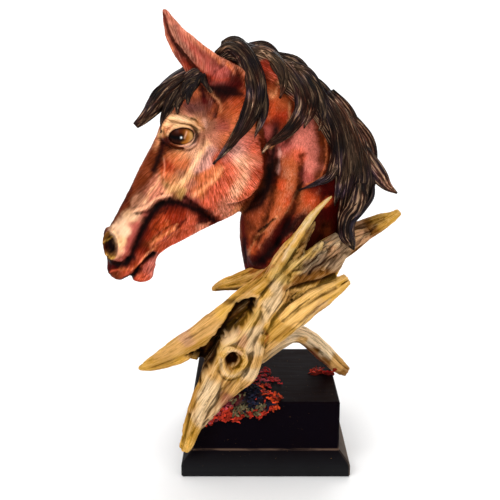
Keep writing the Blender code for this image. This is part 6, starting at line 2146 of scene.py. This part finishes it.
def painted(name, look, dry_colour):
    """Painted resin: the brushwork's colour, then strokes, blotches, darkening in hollows that is partly the
    paint's own and partly painted shade, dry brush and bump.
    """
    material, tree, shader = fresh(name)
    colour = attribute(tree, "paint", "Color")
    flow = attribute(tree, "flow", "Vector")
    relief = attribute(tree, "relief")
    fur = attribute(tree, "fur")
    place = tree.nodes.new("ShaderNodeTexCoord").outputs["Object"]
    strokes = noise(tree, flow, look["scale"], *STROKES_NOISE)
    finer = noise(tree, flow, look["scale"] * look["fine"], *FINER_NOISE)
    mottle = noise(tree, place, look["mottle"], *MOTTLE_NOISE)
    dull = tinted(tree, colour, look["dark_value"], DULL_VIVID)
    light = tinted(tree, colour, look["light_value"], LIGHT_VIVID)
    colour = layer(tree, colour, dull, ramp(tree, strokes, *DARK_BAND), fur, look["dark"])
    tips = ramp(tree, finer, LIGHT_FROM, LIGHT_FROM + look["edge"])
    colour = layer(tree, colour, light, tips, fur, look["light"])
    colour = layer(tree, colour, dull, ramp(tree, mottle, *BLOTCH_BAND), look["blotch"])
    # darkening in hollows: partly the paint's own wash in the creases, partly painted shade
    wash_and_shade = tinted(tree, colour, *WASH_AND_SHADE_TINT)
    colour = layer(tree, colour, wash_and_shade, ramp(tree, relief, 0.0, -look["hollow"]), look["wash_and_shade"])
    ridges = ramp(tree, relief, look["ridge"] * RIDGE_FROM, look["ridge"])
    bright = node(tree, "ShaderNodeRGBToBW", Color=colour).outputs[0]
    dry = ramp(tree, finer, *BRUSH_BAND), ramp(tree, bright, 0.0, look["dry_from"]), look["dry"]
    colour = layer(tree, colour, dry_colour, ridges, *dry)
    height = maths(tree, "ADD", strokes, maths(tree, "MULTIPLY", finer, FINER_BUMP))
    dress(tree, shader, colour, height, look["bump"], look["bump_height"],
          Roughness=ramp(tree, mottle, *MOTTLE_BAND, *look["rough"]), Specular_IOR_Level=look["specular"])
    return material


def linear(name):
    return (*srgb(PAINT[name]), 1)


def eye_material():
    """Glassy eyes: the painted iris with a dark grain under a thin gloss."""
    material, tree, shader = fresh("eye_gloss")
    colour = attribute(tree, "paint", "Color")
    specks = noise(tree, attribute(tree, "flow", "Vector"), *EYE_NOISE)
    dark = tinted(tree, colour, EYE_DARK)
    colour = layer(tree, colour, dark, ramp(tree, specks, *EYE_BAND), EYE_SPECKS)
    dress(tree, shader, colour, specks, *EYE_BUMP, Roughness=EYE_ROUGH, Specular_IOR_Level=EYE_SHINE,
          Coat_Weight=EYE_COAT, Coat_Roughness=EYE_COAT_ROUGH)
    return material


def plinth_material():
    """Near-black lacquer, streaked on top, rubbed through to brown along the moulding, with painted light on
    its lower side that faces +X.
    """
    material, tree, shader = fresh("worn_black_lacquer")
    place = tree.nodes.new("ShaderNodeTexCoord").outputs["Object"]
    z = axes(tree, place)["Z"]
    normal = axes(tree, tree.nodes.new("ShaderNodeNewGeometry").outputs["Normal"])
    stretched = node(tree, "ShaderNodeMapping", Vector=place, Scale=PLINTH_STRETCH).outputs[0]
    streaks = noise(tree, stretched, *PLINTH_STREAKS)
    cloud = noise(tree, place, *PLINTH_CLOUD)
    specks = noise(tree, place, *PLINTH_SPECKS)
    gap = maths(tree, "ABSOLUTE", maths(tree, "SUBTRACT", z, FOOT_HEIGHT + FLARE_HEIGHT))
    colour = linear("plinth_black")
    for paint, *shares in (
        ("plinth_top", ramp(tree, normal["Z"], *TOP_BAND), ramp(tree, streaks, *TOP_STREAKS)),
        ("plinth_foot", ramp(tree, z, *FOOT_BAND)),
        # painted light on the lower side that faces +X
        ("plinth_lit_side", ramp(tree, normal["X"], *LIT_SIDE_BAND), ramp(tree, z, *LOW_BAND),
         ramp(tree, cloud, *LIT_SIDE_CLOUD)),
        ("plinth_worn", ramp(tree, gap, EDGE_WEAR, 0.0), ramp(tree, streaks, *WORN_BAND), WORN_SHARE),
        ("wood_tan", ramp(tree, specks, *SPECK_BAND), SPECK_SHARE),
        ("plinth_top", ramp(tree, cloud, *DUST_BAND), DUST_SHARE),
    ):
        colour = layer(tree, colour, linear(paint), *shares)
    dress(tree, shader, colour, streaks, *PLINTH_BUMP, Roughness=ramp(tree, streaks, *PLINTH_ROUGH),
          Specular_IOR_Level=PLINTH_SHINE)
    return material


def lamp(name, power, size, place, target):
    """A square soft lamp that looks at a place."""
    light = bpy.data.lights.new(name, "AREA")
    light.energy = power
    light.size = size
    made = bpy.data.objects.new(name, light)
    made.location = place
    made.rotation_euler = (Vector(target) - Vector(place)).to_track_quat("-Z", "Y").to_euler()
    return made


def make_stage():
    """A plain pale floor, soft studio light and the camera that took the picture."""
    world = bpy.data.worlds.new("studio")
    world.use_nodes = True
    world.node_tree.nodes["Background"].inputs["Color"].default_value = (1, 1, 1, 1)
    world.node_tree.nodes["Background"].inputs["Strength"].default_value = WORLD_LIGHT
    bpy.context.scene.world = world
    turn = np.linspace(0, math.pi / 2, BEND_STEPS)
    profile = [(-STAGE_SIZE, 0.0)]
    profile += [(STAGE_BACK + STAGE_BEND * math.sin(t), STAGE_BEND * (1 - math.cos(t))) for t in turn]
    profile.append((STAGE_BACK + STAGE_BEND, STAGE_SIZE))
    edge = [[(x, y, z) for y, z in profile] for x in (-STAGE_SIZE, STAGE_SIZE)]
    count = len(profile)
    sweep = [(i, count + i, count + i + 1, i + 1) for i in range(count - 1)]
    floor_mesh = mesh_from("floor", edge[0] + edge[1], sweep)
    floor_mesh.polygons.foreach_set("use_smooth", np.ones(len(sweep), bool))
    floor = bpy.data.objects.new("floor", floor_mesh)
    material, _, shader = fresh("floor_white")
    shader.inputs["Base Color"].default_value = FLOOR_PALE
    shader.inputs["Roughness"].default_value = FLOOR_ROUGH
    floor_mesh.materials.append(material)
    made = [floor, lamp("backdrop", *BACKDROP_LAMP)]
    made += [lamp(*row, LAMP_TARGET) for row in LAMPS]
    lens = bpy.data.cameras.new("camera")
    lens.lens = CAMERA_LENS
    lens.sensor_width = SENSOR_WIDTH
    camera = bpy.data.objects.new("camera", lens)
    camera.location = CAMERA_PLACE
    camera.rotation_euler = (math.radians(CAMERA_TILT), 0, 0)
    made.append(camera)
    for item in made:
        bpy.context.scene.collection.objects.link(item)
    bpy.context.scene.camera = camera
    bpy.context.scene.view_settings.view_transform = "Standard"


def main():
    materials = [painted(name, look, linear(dry)) for name, (dry, look) in LOOKS.items()]
    coat, hair, wood, leaves = materials
    bare = make_head(coat)
    make_mane(bare, hair)
    make_eyes(eye_material())
    make_driftwood(wood)
    make_litter(leaves)
    plinth = bpy.data.objects["plinth"]
    plinth.data.materials.clear()
    plinth.data.materials.append(plinth_material())
    make_stage()


main()
